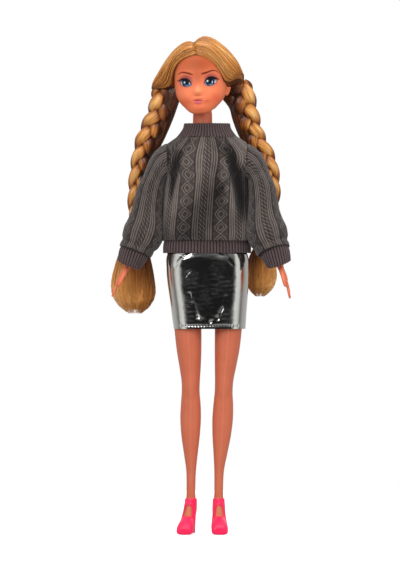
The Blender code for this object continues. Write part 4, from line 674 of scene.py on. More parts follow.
# The painted eyes, each in the photograph's pixels
eyes = (
    {
        "white": (
            (180.3, 81.8), (182.4, 79.7), (186.0, 79.0), (189.2, 80.4), (191.9, 84.9), (190.0, 86.1),
            (186.8, 86.8), (183.4, 86.3), (181.0, 84.2),
        ),
        "bright": ((181.9, 83.9), (1.1, 1.5)),
        "iris": ((186.3, 82.8), (4.25, 4.4)),
        "pupil": (186.7, 82.4),
        "lights": (((184.5, 82.5), (0.8, 0.85)), ((189.5, 83.4), (0.5, 1.0))),
        "lid": (
            (177.6, 81.3, 0.12), (179.6, 80.6, 0.6), (182.4, 79.5, 0.9), (185.8, 79.1, 1.0),
            (188.7, 80.3, 0.85), (190.6, 82.3, 0.55), (191.5, 83.9, 0.2),
        ),
        "lower": (
            (179.6, 81.6, 0.6), (181.3, 84.8, 0.52), (183.8, 86.5, 0.32), (186.8, 87.1, 0.24),
            (190.2, 86.3, 0.2), (191.9, 85.0, 0.15),
        ),
        "flicks": (
            ((180.0, 80.6, 0.4), (177.0, 80.0, 0.1)), ((181.2, 79.4, 0.4), (178.6, 78.3, 0.1)),
            ((183.2, 78.5, 0.3), (181.4, 77.0, 0.08)),
        ),
        "shade": (
            (180.6, 78.4), (183.6, 76.0), (188.0, 75.8), (191.8, 79.0), (192.8, 83.0), (189.8, 79.8),
            (185.6, 77.8), (182.0, 78.8),
        ),
        "brow": (
            (178.0, 74.7, 0.2), (179.8, 73.2, 0.44), (182.2, 72.3, 0.64), (186.0, 72.8, 0.80),
            (189.5, 73.6, 0.82), (192.4, 74.8, 0.45),
        ),
    },
    {
        "white": (
            (204.6, 83.6), (206.0, 80.6), (208.6, 78.4), (211.6, 77.6), (214.6, 78.6), (216.6, 80.2),
            (215.6, 82.8), (212.6, 85.0), (209.0, 85.9), (205.9, 85.2),
        ),
        "bright": ((215.2, 81.6), (1.0, 1.4)),
        "iris": ((210.2, 81.9), (4.3, 4.5)),
        "pupil": (209.9, 81.3),
        "lights": (((207.5, 80.9), (0.85, 0.95)), ((212.3, 82.0), (0.5, 1.1))),
        "lid": (
            (204.2, 83.2, 0.2), (205.4, 80.6, 0.55), (207.9, 78.2, 0.9), (211.0, 77.3, 1.1),
            (214.5, 78.0, 1.05), (217.2, 79.0, 0.65), (219.3, 79.3, 0.12),
        ),
        "lower": (
            (204.2, 84.0, 0.15), (205.9, 85.8, 0.2), (209.0, 86.3, 0.22), (212.8, 85.3, 0.28),
            (215.9, 83.1, 0.38), (217.4, 80.4, 0.5),
        ),
        "flicks": (
            ((215.8, 78.2, 0.45), (219.6, 77.7, 0.08)), ((214.6, 77.2, 0.4), (218.2, 76.2, 0.08)),
            ((212.6, 76.4, 0.3), (215.2, 75.0, 0.08)),
        ),
        "shade": (
            (204.2, 81.8), (205.2, 77.4), (209.2, 74.2), (213.8, 74.0), (217.4, 76.8), (213.8, 75.9),
            (209.6, 76.1), (206.2, 79.2),
        ),
        "brow": (
            (201.6, 73.9, 0.45), (203.2, 73.4, 0.80), (206.4, 72.5, 0.86), (210.0, 71.2, 0.74),
            (213.2, 70.4, 0.6), (216.2, 71.0, 0.42), (218.8, 72.8, 0.18),
        ),
    },
)


def paintFace(paint):
    # Blush, eyes, brows and lips, each layer over the last, with painted shade and painted highlights among
    # them.
    # painted shade: the forehead darkened under the hair, and between the brows
    paint.lay("#a54b23", paint.soft((198.5, 63.0), (25.0, 14.0)), 0.92)
    paint.lay("#b8552f", paint.soft((197.6, 79.0), (4.2, 7.0)), 0.62)
    paint.lay("#cc5230", paint.soft((185.5, 102.5), (7.0, 4.6)), 0.60)
    paint.lay("#dd5038", paint.soft((216.0, 98.5), (6.0, 5.0)), 0.55)
    paint.lay("#c9532f", paint.soft((207.5, 101.5), (4.0, 3.0)), 0.40)
    # painted shade on the chin and jaw
    paint.lay("#b9532d", paint.soft((201.0, 109.5), (14.0, 6.5)), 0.55)
    # painted highlight on the nose, then the painted shadow under it
    paint.lay("#ffa873", paint.soft((197.8, 90.2), (3.6, 4.0)), 0.62)
    paint.lay("#b34c22", paint.soft((197.8, 95.2), (3.4, 1.0)), 0.60)
    for eye in eyes:
        paint.lay("#a04658", paint.inside(eye["shade"], 1.1), 0.72)
        middle = eye["iris"][0]
        paint.lay("#8e3f44", paint.soft((middle[0], middle[1] - 4.4), (5.4, 2.4)), 0.62)
        paint.lay("#8a4038", paint.soft((middle[0], middle[1] + 1.0), (7.6, 5.2)), 0.35)
        white = paint.inside(eye["white"], 0.22)
        paint.lay("#6a708c", white)
        paint.lay("#cdd4e6", white * paint.soft(*eye["bright"]), 0.85)
        # painted shade of the upper lid across the top of the white
        paint.lay("#262a40", white * paint.soft((middle[0], middle[1] - 4.2), (7, 3.2)), 0.95)
        iris = paint.oval(*eye["iris"]) * white
        paint.lay("#0b1430", iris)
        inner = (eye["iris"][1][0] * 0.74, eye["iris"][1][1] * 0.74)
        paint.lay("#122443", paint.oval(middle, inner, 0.9) * white, 0.85)
        paint.lay("#7f9fc0", paint.soft((middle[0] + 0.9, middle[1] + 2.9), (2.2, 0.9)) * iris, 0.55)
        paint.lay("#04060e", paint.oval(eye["pupil"], (1.8, 2.1), 0.35) * white)
        # painted shade of the upper lid across the top of the iris
        paint.lay("#070914", iris * paint.soft((middle[0], middle[1] - 3.2), (4, 1.9)), 0.95)
        for centre, radii in eye["lights"]:
            paint.lay("#c9dcea", paint.oval(centre, radii, 0.35), 0.88)
        paint.lay("#2a1018", paint.stroke(eye["lid"], 1.3), 0.62)
        paint.lay("#08050a", paint.stroke(eye["lid"], 0.5))
        paint.lay("#6b3634", paint.stroke(eye["lower"], 0.34), 0.62)
        for flick in eye["flicks"]:
            paint.lay(
                "#140b10",
                paint.stroke((flick[0], tuple((a + b) / 2 for a, b in zip(*flick)), flick[1]), 0.2),
                0.75,
            )
        paint.lay("#5a1504", paint.stroke(eye["brow"], 0.4), 0.94)
    upper = (
        (192.2, 100.9), (195.0, 99.7), (197.0, 99.1), (198.3, 99.5), (199.6, 99.1), (201.4, 99.6),
        (203.8, 100.3), (200.6, 100.6), (198.2, 100.5), (195.4, 100.7),
    )
    lower = (
        (193.8, 101.1), (195.8, 100.9), (198.4, 100.8), (201.0, 100.8), (202.6, 100.9), (201.4, 102.8),
        (198.6, 104.0), (196.2, 103.6), (194.6, 102.6),
    )
    # painted shade in the creases at the mouth's corners
    paint.lay("#a84a28", paint.soft((206.4, 101.0), (2.8, 0.8)), 0.55)
    paint.lay("#a84a28", paint.soft((190.4, 101.7), (1.8, 0.7)), 0.35)
    paint.lay("#c0444e", paint.inside(upper, 0.3), 0.9)
    paint.lay("#d9606f", paint.inside(lower, 0.6), 0.90)
    # painted highlight on the lower lip, then painted shade along its bottom edge
    paint.lay("#f08ea2", paint.soft((198.8, 102.1), (2.4, 0.6)), 0.6)
    paint.lay("#b94352", paint.soft((198.4, 103.9), (2.2, 0.5)), 0.5)
    paint.lay(
        "#640810",
        paint.stroke(
            (
                (192.7, 100.7, 0.08), (195.2, 100.6, 0.30), (198.2, 100.6, 0.42), (201.0, 100.4, 0.34),
                (203.7, 100.0, 0.08),
            ),
            0.24,
        ),
        0.92,
    )


def addHead():
    upright = headGrid(236, 262)
    x, z = upright[..., 0], upright[..., 2]
    ahead = step(0, -6, upright[..., 1])
    upright[..., 1] -= faceRelief(x, z) * ahead
    placed = headPlace(upright)
    across, down = photoAt(placed.reshape(-1, 3) + stance)
    paint = Paint(across, down)
    paintFace(paint)
    front = (upright[..., 1] < -3).reshape(-1)
    cover = paint.cover * front
    colour = np.column_stack([paint.colour, np.ones(len(cover))])
    mesh = gridMesh("head_skin", placed, values={"paint": colour, "cover": cover})
    showPiece("head_skin", mesh, faceSkin, "head", ("head",))


def addEar(side, word):
    # The ear's bowl, rim and lobe, moulded with the head.
    rows, cols = 30, 72
    radius = np.linspace(0, 1, rows)[:, None]
    angle = turns(cols)[None]
    height = 5.4 * radius * np.sin(angle) + 0 * angle
    depth = (3.3 + 0.5 * np.sin(angle)) * radius * np.cos(angle)
    rim = 0.55 * hill(radius, 0.84, 0.10) * (0.55 + 0.45 * np.sin(angle + 0.4))
    fold = 0.35 * hill(radius, 0.52, 0.09) * step(-0.4, 0.5, np.sin(angle + 0.6))
    bowl = -0.75 * hill(radius, 0.18, 0.34)
    lobe = 0.35 * hill(height, -4.6, 1.4) * hill(depth, -0.3, 1.4)
    out = 1.15 * np.sqrt(np.maximum(0, 1 - radius**2.6)) + rim + fold + bowl + lobe + 0 * angle
    outer = np.stack([out, depth + 0 * out, height + 0 * out], -1)
    inner = np.stack(
        [
            -1.2 * np.sqrt(np.maximum(0, 1 - radius[::-1] ** 2)) + 0 * out,
            outer[::-1, :, 1],
            outer[::-1, :, 2],
        ],
        -1,
    )
    shape = np.concatenate([outer, inner[1:]])
    flare = math.radians(34)
    turned = shape.copy()
    turned[..., 0] = shape[..., 0] * math.cos(flare) + shape[..., 1] * math.sin(flare)
    turned[..., 1] = shape[..., 1] * math.cos(flare) - shape[..., 0] * math.sin(flare)
    turned[..., 0] = side * (turned[..., 0] + 14.75 + 0.05 * shape[..., 2])
    turned[..., 1] += 1.9
    turned[..., 2] += 12.2
    placed = headPlace(turned)
    across, down = photoAt(placed.reshape(-1, 3) + stance)
    spot = np.hypot(across - 224.7, down - 95.9)
    dot = 0.8 * step(0.75, 0.35, spot) * (side == left)
    tint = np.tile(linear("#7a2a14"), (len(dot), 1))
    mesh = gridMesh("ear_" + word, placed, values={"paint": tint, "cover": dot})
    showPiece("ear_" + word, mesh, faceSkin, "head")


def addNeck():
    # The neck's smooth skin, from the collar bones up to the head.
    rings = []
    for share, size, lean in (
        (0.18, 2.3, 0.1), (0.34, 1.63, 0.45), (0.44, 1.20, 0.75), (0.56, 1.05, 1), (0.80, 1.03, 1),
        (0.93, 1.01, 1), (1.0, 0.97, 1),
    ):
        place = np.array((lean * head["lean"], 0, 217 + share * 30))
        rings.append(levelOval(place, size * 5.5, size * 5.5, size * 5.5, 96))
    rings[0] = rings[0] * (1, 0.6, 1)
    grid = denseRings(rings, 0.5)
    mesh = gridMesh("neck_skin", grid, values={"seam": np.zeros(grid.shape[:2])})
    showPiece("neck_skin", mesh, bodySkin, "torso")


addHead()
addNeck()
for side, word in sides:
    addEar(side, word)
print("head made")

# Hair: for each side, curves from the parting to the knot, front edge first; points are of the upright head
hairShares = (0.0, 0.07, 0.2, 0.38, 0.56, 0.73, 0.88, 1.0)
hairCurves = {
    right: (
        (
            (0, -13.2, 31.3), (-2.2, -13.3, 31.2), (-8.1, -12.1, 29.4), (-13.4, -9.2, 25.2),
            (-15.8, -6.2, 19.9), (-16.9, -4.7, 15.6), (-21.0, -3.4, 13.7), (-26.6, -2.2, 14.0),
        ),
        (
            (-1.2, -8.6, 37.0), (-3.4, -9.1, 37.2), (-8.6, -9.4, 35.6), (-14.6, -8.7, 30.4),
            (-18.6, -7.4, 24.6), (-21.8, -6.0, 19.4), (-25.4, -4.2, 16.4), (-28.2, -2.2, 14.6),
        ),
        (
            (-2.2, 0.3, 39.2), (-4.4, 0.3, 39.9), (-8.2, 0.1, 39.2), (-14.6, 0.0, 35.0), (-20.6, 0.0, 28.4),
            (-25.0, 0.2, 22.4), (-28.3, 0.5, 17.6), (-29.4, 0.8, 14.0),
        ),
        (
            (-1.6, 12.0, 36.6), (-4.0, 12.3, 37.0), (-8.4, 12.3, 36.2), (-14.6, 11.8, 31.6),
            (-20.0, 10.2, 25.0), (-24.4, 8.0, 19.2), (-27.4, 5.6, 14.6), (-28.6, 3.8, 12.2),
        ),
        (
            (0, 19.8, 22.5), (-3.0, 19.8, 22.4), (-8.0, 19.4, 21.0), (-14.4, 17.0, 18.2),
            (-19.2, 13.8, 15.6), (-23.2, 10.6, 13.4), (-26.2, 7.4, 11.6), (-27.6, 5.0, 10.8),
        ),
        (
            (0, 18.0, 5.0), (-2.6, 18.0, 4.8), (-6.4, 17.6, 4.6), (-11.6, 15.6, 5.2), (-16.0, 12.8, 6.6),
            (-20.2, 9.6, 8.2), (-24.0, 6.4, 9.6), (-26.2, 4.0, 10.2),
        ),
    ),
    left: (
        (
            (0, -13.2, 31.3), (1.8, -13.3, 30.9), (6.6, -12.7, 28.7), (11.0, -10.8, 24.4),
            (13.7, -8.9, 19.0), (15.4, -7.0, 15.2), (18.4, -4.6, 14.6), (22.8, -2.8, 17.0),
        ),
        (
            (-1.2, -8.6, 37.0), (1.2, -9.2, 37.4), (7.0, -9.4, 35.8), (12.4, -8.8, 30.8),
            (16.2, -7.6, 25.2), (19.2, -6.2, 20.8), (21.6, -4.4, 18.4), (23.6, -2.4, 17.2),
        ),
        (
            (-2.2, 0.3, 39.2), (1.6, 0.2, 41.8), (7.0, 0.1, 41.3), (13.2, 0.0, 36.8), (18.6, 0.0, 31.0),
            (22.4, 0.2, 25.4), (24.2, 0.5, 21.4), (25.6, 0.8, 18.0),
        ),
        (
            (-1.6, 12.0, 36.6), (2.2, 12.3, 38.2), (7.6, 12.3, 37.6), (13.2, 11.8, 33.4),
            (18.2, 10.2, 27.0), (21.8, 8.0, 21.4), (24.0, 5.6, 17.6), (25.2, 3.8, 15.2),
        ),
        (
            (0, 19.8, 22.5), (3.0, 19.8, 22.4), (8.0, 19.4, 21.2), (13.6, 17.0, 18.8), (17.8, 13.8, 16.8),
            (21.2, 10.6, 15.0), (23.6, 7.4, 13.8), (24.8, 5.0, 13.2),
        ),
        (
            (0, 18.0, 5.0), (2.6, 18.0, 4.8), (6.4, 17.6, 4.8), (11.2, 15.6, 5.8), (15.4, 12.8, 7.6),
            (19.2, 9.6, 9.6), (22.4, 6.4, 11.4), (24.2, 4.0, 12.2),
        ),
    ),
}


def hairSheet(side, across, along):
    # Points of the combed side at shares across it (front to nape) and along it (parting to knot).
    table = np.array(hairCurves[side], float)
    rows = []
    for curve in table:
        rows.append(smoothRead(np.column_stack([hairShares, curve]), along))
    rows = np.array(rows)
    width = np.linspace(0, 1, len(rows))
    flat = np.column_stack([width, rows.reshape(len(rows), -1)])
    return smoothRead(flat, across).reshape(len(across), len(along), 3)


def addHairSide(side, word):
    # One combed side: a closed lock from the parting to the knot, grooved along its strands.
    across = np.linspace(0, 1, 250)
    along = np.linspace(0, 1, 110)
    top = hairSheet(side, across, along)
    inward = np.array((side * -6.0, 2.0, 10.0))
    under = np.linspace(1, 0, 40)[:, None, None]
    chord = top[-1][None] * under + top[0][None] * (1 - under)
    sink = np.sin(np.pi * under) * (1 - 0.75 * step(0.55, 1.0, along))[None, :, None]
    chord = chord + (inward - chord) * 0.35 * sink
    grid = np.concatenate([top, chord[1:-1]]).transpose(1, 0, 2)
    cols = grid.shape[1]
    key = np.concatenate([across, np.linspace(1, 2, cols - len(across))])[None]
    run = along[:, None]
    locks = waves(3 + side, 10, 24, 80)(key + 0.01 * np.sin(7 * run), run * 0.10)
    strands = waves(13 + side, 16, 140, 430)(key + 0.012 * np.sin(5 * run), run * 0.03)
    depth = 0.17 * locks + 0.06 * strands
    depth = depth * step(-0.02, 0.08, run) * np.where(key < 1, 1, 0.4)
    parting = -0.9 * (1 - step(0, 0.045, run)) * np.where(key < 1, 1, 0)
    centre = grid.mean(axis=1, keepdims=True)
    knot = np.sqrt(np.clip(1 - ((run - 0.87) / 0.13).clip(0, 1) ** 2, 0.04, 1))
    grid = centre + (grid - centre) * knot[..., None]
    normal = normalsOf(grid)
    grid = grid + normal * (depth + parting)[..., None]
    sheen = waves(23 + side, 6, 8, 28)(key + 0.02 * np.sin(4 * run), run * 0.5)
    # painted highlight: a band part way along the side, stronger on the left side
    bright = 0.16 if side == right else 0.22
    tone = 0.44 + 0.26 * locks + 0.18 * strands + 0.16 * sheen
    tone = tone + bright * hill(run, 0.40, 0.20) - 0.16 * hill(run, 0.14, 0.10)
    ticks = np.sin(key * 2 * math.pi * 34) * (1 - step(0.01, 0.05, run)) * np.where(key < 0.4, 1, 0)
    tone = tone + 0.40 * ticks
    # painted shade on the lock's underside, where the sheet closes under it; darker too at the parting and
    # towards the knot
    tone = tone - 0.22 * (
        1 - step(0, 0.05, run)
    ) - 0.45 * np.where(key > 1, 1, 0) - 0.18 * step(0.85, 1.0, run)
    tone = tone - 0.25 * step(0.10, 0.0, key) * step(0.3, 0.6, run)
    u = np.tile(key, (len(along), 1))
    v = np.tile(run, (1, cols))
    mesh = gridMesh("hair_side_" + word, headPlace(grid), values={"tone": tone}, uv=(u, v))
    stands = ("hair_cap",) if side == left else ()
    showPiece("hair_side_" + word, mesh, hairFibre, "head", stands)


def addStrands(side, word):
    # Loose single strands lying just over the combed side.
    source = np.random.default_rng(31 + side)
    number = 720
    across = np.sort(source.uniform(0.005, 0.97, number))
    along = np.linspace(0.0, 0.985, 18)
    top = hairSheet(side, across, along)
    middle = np.array((0.0, 2.0, 17.0))
    away = top - middle
    away /= np.linalg.norm(away, axis=2, keepdims=True)
    lift = source.uniform(-0.03, 0.20, number)[:, None] * np.sin(
        np.pi * np.clip(along * 0.96 + 0.02, 0, 1)
    )[None]
    sway = source.normal(0, 0.50, number)[:, None] * np.sin(np.pi * along)[None]
    sway = sway + source.normal(0, 0.24, number)[:, None] * np.sin(2 * np.pi * along)[None]
    paths = top + away * lift[..., None]
    paths[..., 2] += sway * 0.6
    paths[..., 1] += sway
    taper = 0.105 * (0.35 + 0.65 * np.sin(np.pi * np.clip(along, 0.03, 0.97)))
    radii = taper[None] * source.uniform(0.7, 1.5, number)[:, None]
    shine = (0.10 if side == right else 0.16) * hill(along, 0.42, 0.22) - 0.2 * step(0.75, 1.0, along)
    tones = source.normal(0.52, 0.20, number)[:, None] + shine[None]
    mesh = strandMesh("hair_strands_" + word, headPlace(paths), radii, tones)
    showPiece("hair_strands_" + word, mesh, hairFibre, "head")


for side, word in sides:
    addHairSide(side, word)
    addStrands(side, word)
print("hair made")

# Braids: places of the middle line, down to the tie, in the doll's plane
braid = {
    "turn": 35.0,
    "halfWidth": 7.0,
    "halfDepth": 4.6,
    "taper": (
        (0.0, 0.40), (0.035, 0.84), (0.10, 1.0), (0.30, 1.0), (0.55, 0.86), (0.80, 0.72), (0.94, 0.60),
        (1.0, 0.42),
    ),
    left: (
        (20.25, 4.05, 264.4), (20.98, 4.86, 259.0), (21.63, 6.89, 251.4), (23.41, 9.32, 244.4),
        (25.11, 11.75, 237.4),
        (28.59, 14.18, 229.8), (32.08, 15.8, 223.9), (35.48, 16.61, 216.9), (37.5, 17.01, 207.0),
        (37.99, 17.01, 197.0),
        (37.5, 16.61, 188.0), (36.53, 16.2, 181.0),
    ),
    right: (
        (27.14, 4.05, 261.2), (26.08, 5.27, 253.9), (27.95, 8.1, 245.0), (32.81, 12.15, 235.4),
        (35.88, 14.18, 227.6),
        (38.56, 15.8, 218.1), (40.42, 16.61, 207.0), (41.47, 17.01, 197.6), (41.96, 17.01, 188.0),
        (41.47, 16.61, 181.0),
    ),
}


def braidLine(side, count):
    places = np.array(braid[side], float)
    places[:, 0] *= side
    gaps = np.linalg.norm(np.diff(places, axis=0), axis=1)
    keys = np.concatenate([[0], np.cumsum(gaps)])
    return smoothRead(np.column_stack([keys, places]), np.linspace(0, keys[-1], count)), keys[-1]


def framesAlong(line):
    tangent = np.gradient(line, axis=0)
    tangent /= np.linalg.norm(tangent, axis=1, keepdims=True)
    forward = np.array((0, -1.0, 0)) - tangent * (tangent @ np.array((0, -1.0, 0)))[:, None]
    forward /= np.linalg.norm(forward, axis=1, keepdims=True)
    across = np.cross(tangent, forward)
    return tangent, across, forward


def underLock(side):
    # The lock from the nape that feeds the braid from behind the ear, toned near black as painted shade
    # behind the neck.
    places = {
        right: (
            (-16.0, 3.5, 263.0, 4.4), (-20.6, 3.8, 255.0, 5.0), (-23.6, 7.5, 245.0, 4.4),
            (-27.2, 11.5, 234.0, 3.4), (-31.0, 14.5, 224.0, 2.2),
        ),
        left: (
            (13.0, 9.0, 257.0, 5.0), (18.0, 8.0, 251.0, 5.4), (20.0, 9.5, 243.0, 4.9),
            (22.8, 12.0, 233.0, 4.0), (28.0, 14.5, 222.0, 2.6),
        ),
    }
    table = np.array([(n, *place) for n, place in enumerate(places[side])], float)
    line = smoothRead(table, np.linspace(0, 4, 90))
    _, across, forward = framesAlong(line[:, :3])
    angle = turns(120)[None]
    grain = 1 + 0.04 * waves(77 + side, 14, 12, 34)(angle, np.linspace(0, 0.4, 90)[:, None])
    wide = line[:, 3][:, None] * grain
    shape = line[:, None, :3] + across[:, None] * (wide * np.cos(angle))[..., None] + forward[:, None] * (
        0.7 * wide * np.sin(angle)
    )[..., None]
    # painted shade: the whole lock is toned near black
    return shape, -0.16 + 4.5 * (grain - 1)


def addBraid(side, word):
    # Three grooved strands plaited round one line.
    count, ring = 250, 46
    line, length = braidLine(side, count)
    _, across, forward = framesAlong(line)
    share = np.linspace(0, 1, count)
    size = smoothRead(braid["taper"], share)[:, 0]
    parts = []
    tones = []
    for number in range(3):
        phase = 2 * math.pi * (share * length / braid["turn"] + number / 3) + (0.5 if side == left else 1.4)
        wide, deep = braid["halfWidth"] * size, braid["halfDepth"] * size
        centre = line + across * (wide * 0.50 * np.sin(phase))[:, None] + forward * (
            deep * 0.46 * np.sin(2 * phase)
        )[:, None]
        _, side1, out = framesAlong(centre)
        angle = turns(ring)[None]
        lock = waves(40 + number + side, 7, 2, 7)(angle, share[:, None] * 9)
        fibre = waves(60 + number + side, 12, 14, 30)(angle, share[:, None] * 4)
        swell = 1 + 0.05 * lock + 0.022 * fibre
        half = (wide * 0.56)[:, None] * swell
        thick = (deep * 0.60)[:, None] * swell
        tube = (
            centre[:, None]
            + side1[:, None] * (half * np.cos(angle))[..., None]
            + out[:, None] * (thick * np.sin(angle))[..., None]
        )
        apart = tube - line[:, None]
        away = np.linalg.norm(apart, axis=2) / np.maximum(wide[:, None], 1e-3)
        inward = -side * apart[..., 0] / np.maximum(wide[:, None], 1e-3)
        # painted light and shade: strands lighter where they cross in front and darker where they pass
        # under, shade in the gaps, along each strand's edges and on the inner side towards the neck, and a
        # painted highlight on the outer side
        tone = 0.40 + 0.17 * lock + 0.20 * fibre + 0.34 * np.sin(2 * phase)[:, None]
        tone = tone - 0.60 * step(0.75, 0.25, away) - 0.95 * step(-0.25, 0.75, inward)
        tone = tone - 0.60 * np.abs(np.cos(angle)) ** 3
        tone = tone + 0.22 * step(0.2, 0.9, -inward)
        parts.append(tube)
        tones.append(tone)
    lock, tone = underLock(side)
    parts.append(lock)
    tones.append(tone)
    strands = []
    for tube, tone in zip(parts, tones):
        strands.append(gridMesh("strand", tube, values={"tone": tone}, uv=(1.0, 6.0)))
    mesh = joined("braid_plait_" + word, strands)
    return showPiece("braid_plait_" + word, mesh, hairFibre, None, ("braid_" + word,))


tail = {
    "halfWidth": 13.0,
    "halfDepth": 6.0,
    "size": {left: (0.68, 0.80), right: (1.0, 1.0)},
    "drift": {left: -6.0, right: 0.0},
    "rows": (
        (0.00, 0.000, 0.20, 0.42), (0.07, 0.006, 0.26, 0.50), (0.16, 0.014, 0.44, 0.72),
        (0.30, 0.028, 0.66, 0.90),
        (0.46, 0.036, 0.85, 1.00), (0.62, 0.040, 0.98, 1.00), (0.78, 0.034, 1.00, 0.92),
        (0.88, 0.026, 0.86, 0.78), (0.95, 0.020, 0.62, 0.58), (1.00, 0.016, 0.32, 0.30),
    ),
}


def tailPoints(side, share, radius, angle):
    # Points of a tail at shares down it, shares of its radius and turns round it.
    line, _ = braidLine(side, 40)
    widthSize, lengthSize = tail["size"][side]
    long = 50.0 * lengthSize + 2.2
    shape = np.shape(share)
    row = smoothRead(tail["rows"], np.ravel(share)).reshape(*shape, 3)
    drift = tail["drift"][side] * step(0.0, 0.5, share)
    x = line[-1][0] + side * (
        row[..., 0] * long + drift
    ) + row[..., 1] * tail["halfWidth"] * widthSize * radius * np.cos(angle)
    y = line[-1][1] - 0.04 * share * long + row[..., 2] * tail["halfDepth"] * radius * np.sin(angle)
    z = line[-1][2] - 0.6 - share * long
    return np.stack([x, y, z], -1)


def addTail(side, word):
    # Loose hair under the band: a combed core and many fine strands over it, longer than it.
    source = np.random.default_rng(81 + side)
    cols, lines = 180, 70
    angle = turns(cols)[None]
    share = np.linspace(0, 0.955, lines)[:, None]
    turn = angle + 0.10 * np.sin(3 * share + side) + 0 * share
    locks = waves(141 + side, 10, 5, 16)(turn, share * 1.5)
    fibre = waves(151 + side, 14, 26, 60)(turn, share * 2.0)
    close = np.sqrt(np.clip(1 - ((share - 0.80) / 0.13).clip(0, 1) ** 2, 0.02, 1))
    radius = (0.90 + 0.05 * locks + 0.02 * fibre) * (0.35 + 0.65 * close)
    grid = tailPoints(side, share + 0 * turn, radius, turn)
    # painted light: the outer side of the tail lighter than the side towards the body; lighter too towards
    # the ends
    tone = 0.20 + 0.12 * locks + 0.12 * fibre + 0.50 * step(0.30, 0.90, share) + 0.24 * side * np.cos(turn)
    core = gridMesh("core", grid, values={"tone": tone}, uv=(1.0, 1.0))
    number, steps = 720, 14
    along = np.linspace(0, 1, steps)[None]
    reach = 1 - 0.10 * source.uniform(0, 1, number) ** 1.5
    way = source.uniform(0, 2 * math.pi, number)[:, None]
    depth = source.uniform(0.84, 1.0, number)[:, None]
    bend = source.normal(0, 0.07, number)[:, None] * np.sin(np.pi * along * 1.2 + 0.3)
    inward = 1 - 0.30 * step(0.75, 1.0, along) * source.uniform(0, 1, number)[:, None]
    paths = tailPoints(side, along * reach[:, None], depth * inward, way + bend)
    width = 0.15 * (0.5 + 0.5 * step(0.0, 0.25, along)) * (1 - 0.8 * step(0.78, 1.0, along))
    radii = width * source.uniform(0.6, 1.3, number)[:, None]
    tones = 0.26 + source.normal(0, 0.10, number)[:, None]
    # painted light: strands on the outer side lighter than those towards the body; lighter too towards the
    # ends
    tones = tones + 0.24 * side * np.cos(way) + 0.46 * step(0.30, 0.90, along)
    strands = strandMesh("strands", paths, radii, tones, 0.8)
    mesh = joined("hair_tail_strands_" + word, (core, strands))
    return showPiece(
        "hair_tail_strands_" + word, mesh, hairFibre, None, ("hair_tail_" + word,)
    )


def hangHair(piece):
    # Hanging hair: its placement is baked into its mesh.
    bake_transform(piece)


def addTie(side, word):
    # The elastic round the braid's end, wound three times
    line, _ = braidLine(side, 40)
    turn = turns(64)[None]
    section = turns(14)[:, None]
    coils = []
    for drop, tilt in ((-0.85, 0.10), (0.0, -0.08), (0.85, 0.05)):
        out = 0.46 * np.cos(section)
        x = (3.0 + out) * np.cos(turn)
        y = (2.25 + out) * np.sin(turn)
        z = 0.46 * np.sin(section) + drop + tilt * x
        grid = line[-1] + np.stack([x, y, z + 0.2], -1)
        coils.append(gridMesh("coil", grid, looped=True))
    mesh = joined("tie_band_" + word, coils)
    return showPiece("tie_band_" + word, mesh, tieRubber, None, ("hair_tie_" + word,))


for side, word in sides:
    hangHair(addBraid(side, word))
    hangHair(addTie(side, word))
    hangHair(addTail(side, word))
print("braids made")

# Arms
arm = {
    "reach": 65.0,
    "radius": 4.2,
    "aim": {left: (0.314, 0.230), right: (0.372, 0.060)},
    "handAim": {left: (0.36, 0.10), right: (0.52, 0.06)},
    "rows": (
        (0.17, 0.075, 0.00, 0.96), (0.27, 0.075, 0.01, 0.94), (0.40, 0.045, 0.03, 0.90),
        (0.52, 0.030, 0.045, 0.88),
        (0.66, 0.022, 0.03, 0.84), (0.82, 0.010, 0.01, 0.72), (1.00, 0.000, 0.00, 0.56),
    ),
}


def aimOf(side, which):
    out, forward = arm[which][side]
    return np.array((side * out, -forward, -math.sqrt(1 - out * out - forward * forward)))


def armPoint(side, share, bow=0.0, elbow=0.0):
    root = np.array((side * (18.3 + 3.3), 0, 217.0))
    return root + aimOf(side, "aim") * share * arm["reach"] + np.array(
        (side * bow, elbow, 0)
    ) * arm["reach"]


def limbRing(side, centre, direction, halfWidth, halfDepth, count):
    # An oval across a limb, starting on its outer side, its width as near to X as it can be.
    along = np.array((side * direction[0], direction[1], direction[2]))
    along = along / np.linalg.norm(along)
    across = np.array((1.0, 0, 0)) - along * along[0]
    across /= np.linalg.norm(across)
    forward = np.cross(across, along)
    angle = turns(count)
    ring = across * (halfWidth * np.cos(angle))[:, None] + forward * (halfDepth * np.sin(angle))[:, None]
    ring[:, 0] *= side
    return centre + ring


def tubeMesh(name, places, radii):
    # A round-ended tube through places, for fingers.
    places = np.array(places, float)
    keys = np.concatenate([[0], np.cumsum(np.linalg.norm(np.diff(places, axis=0), axis=1))])
    at = np.linspace(0, keys[-1], 26)
    line = smoothRead(np.column_stack([keys, places, radii]), at)
    centre, size = line[:, :3], line[:, 3]
    size = size * np.sqrt(np.clip(1 - ((at - keys[-1] + size[-1]) / size[-1]).clip(0, 1) ** 2, 0.02, 1))
    _, across, forward = framesAlong(centre)
    angle = turns(24)[None]
    ring = across[:, None] * (size[:, None] * np.cos(angle))[..., None]
    ring = ring + forward[:, None] * (size[:, None] * np.sin(angle))[..., None]
    return gridMesh(name, centre[:, None] + ring)


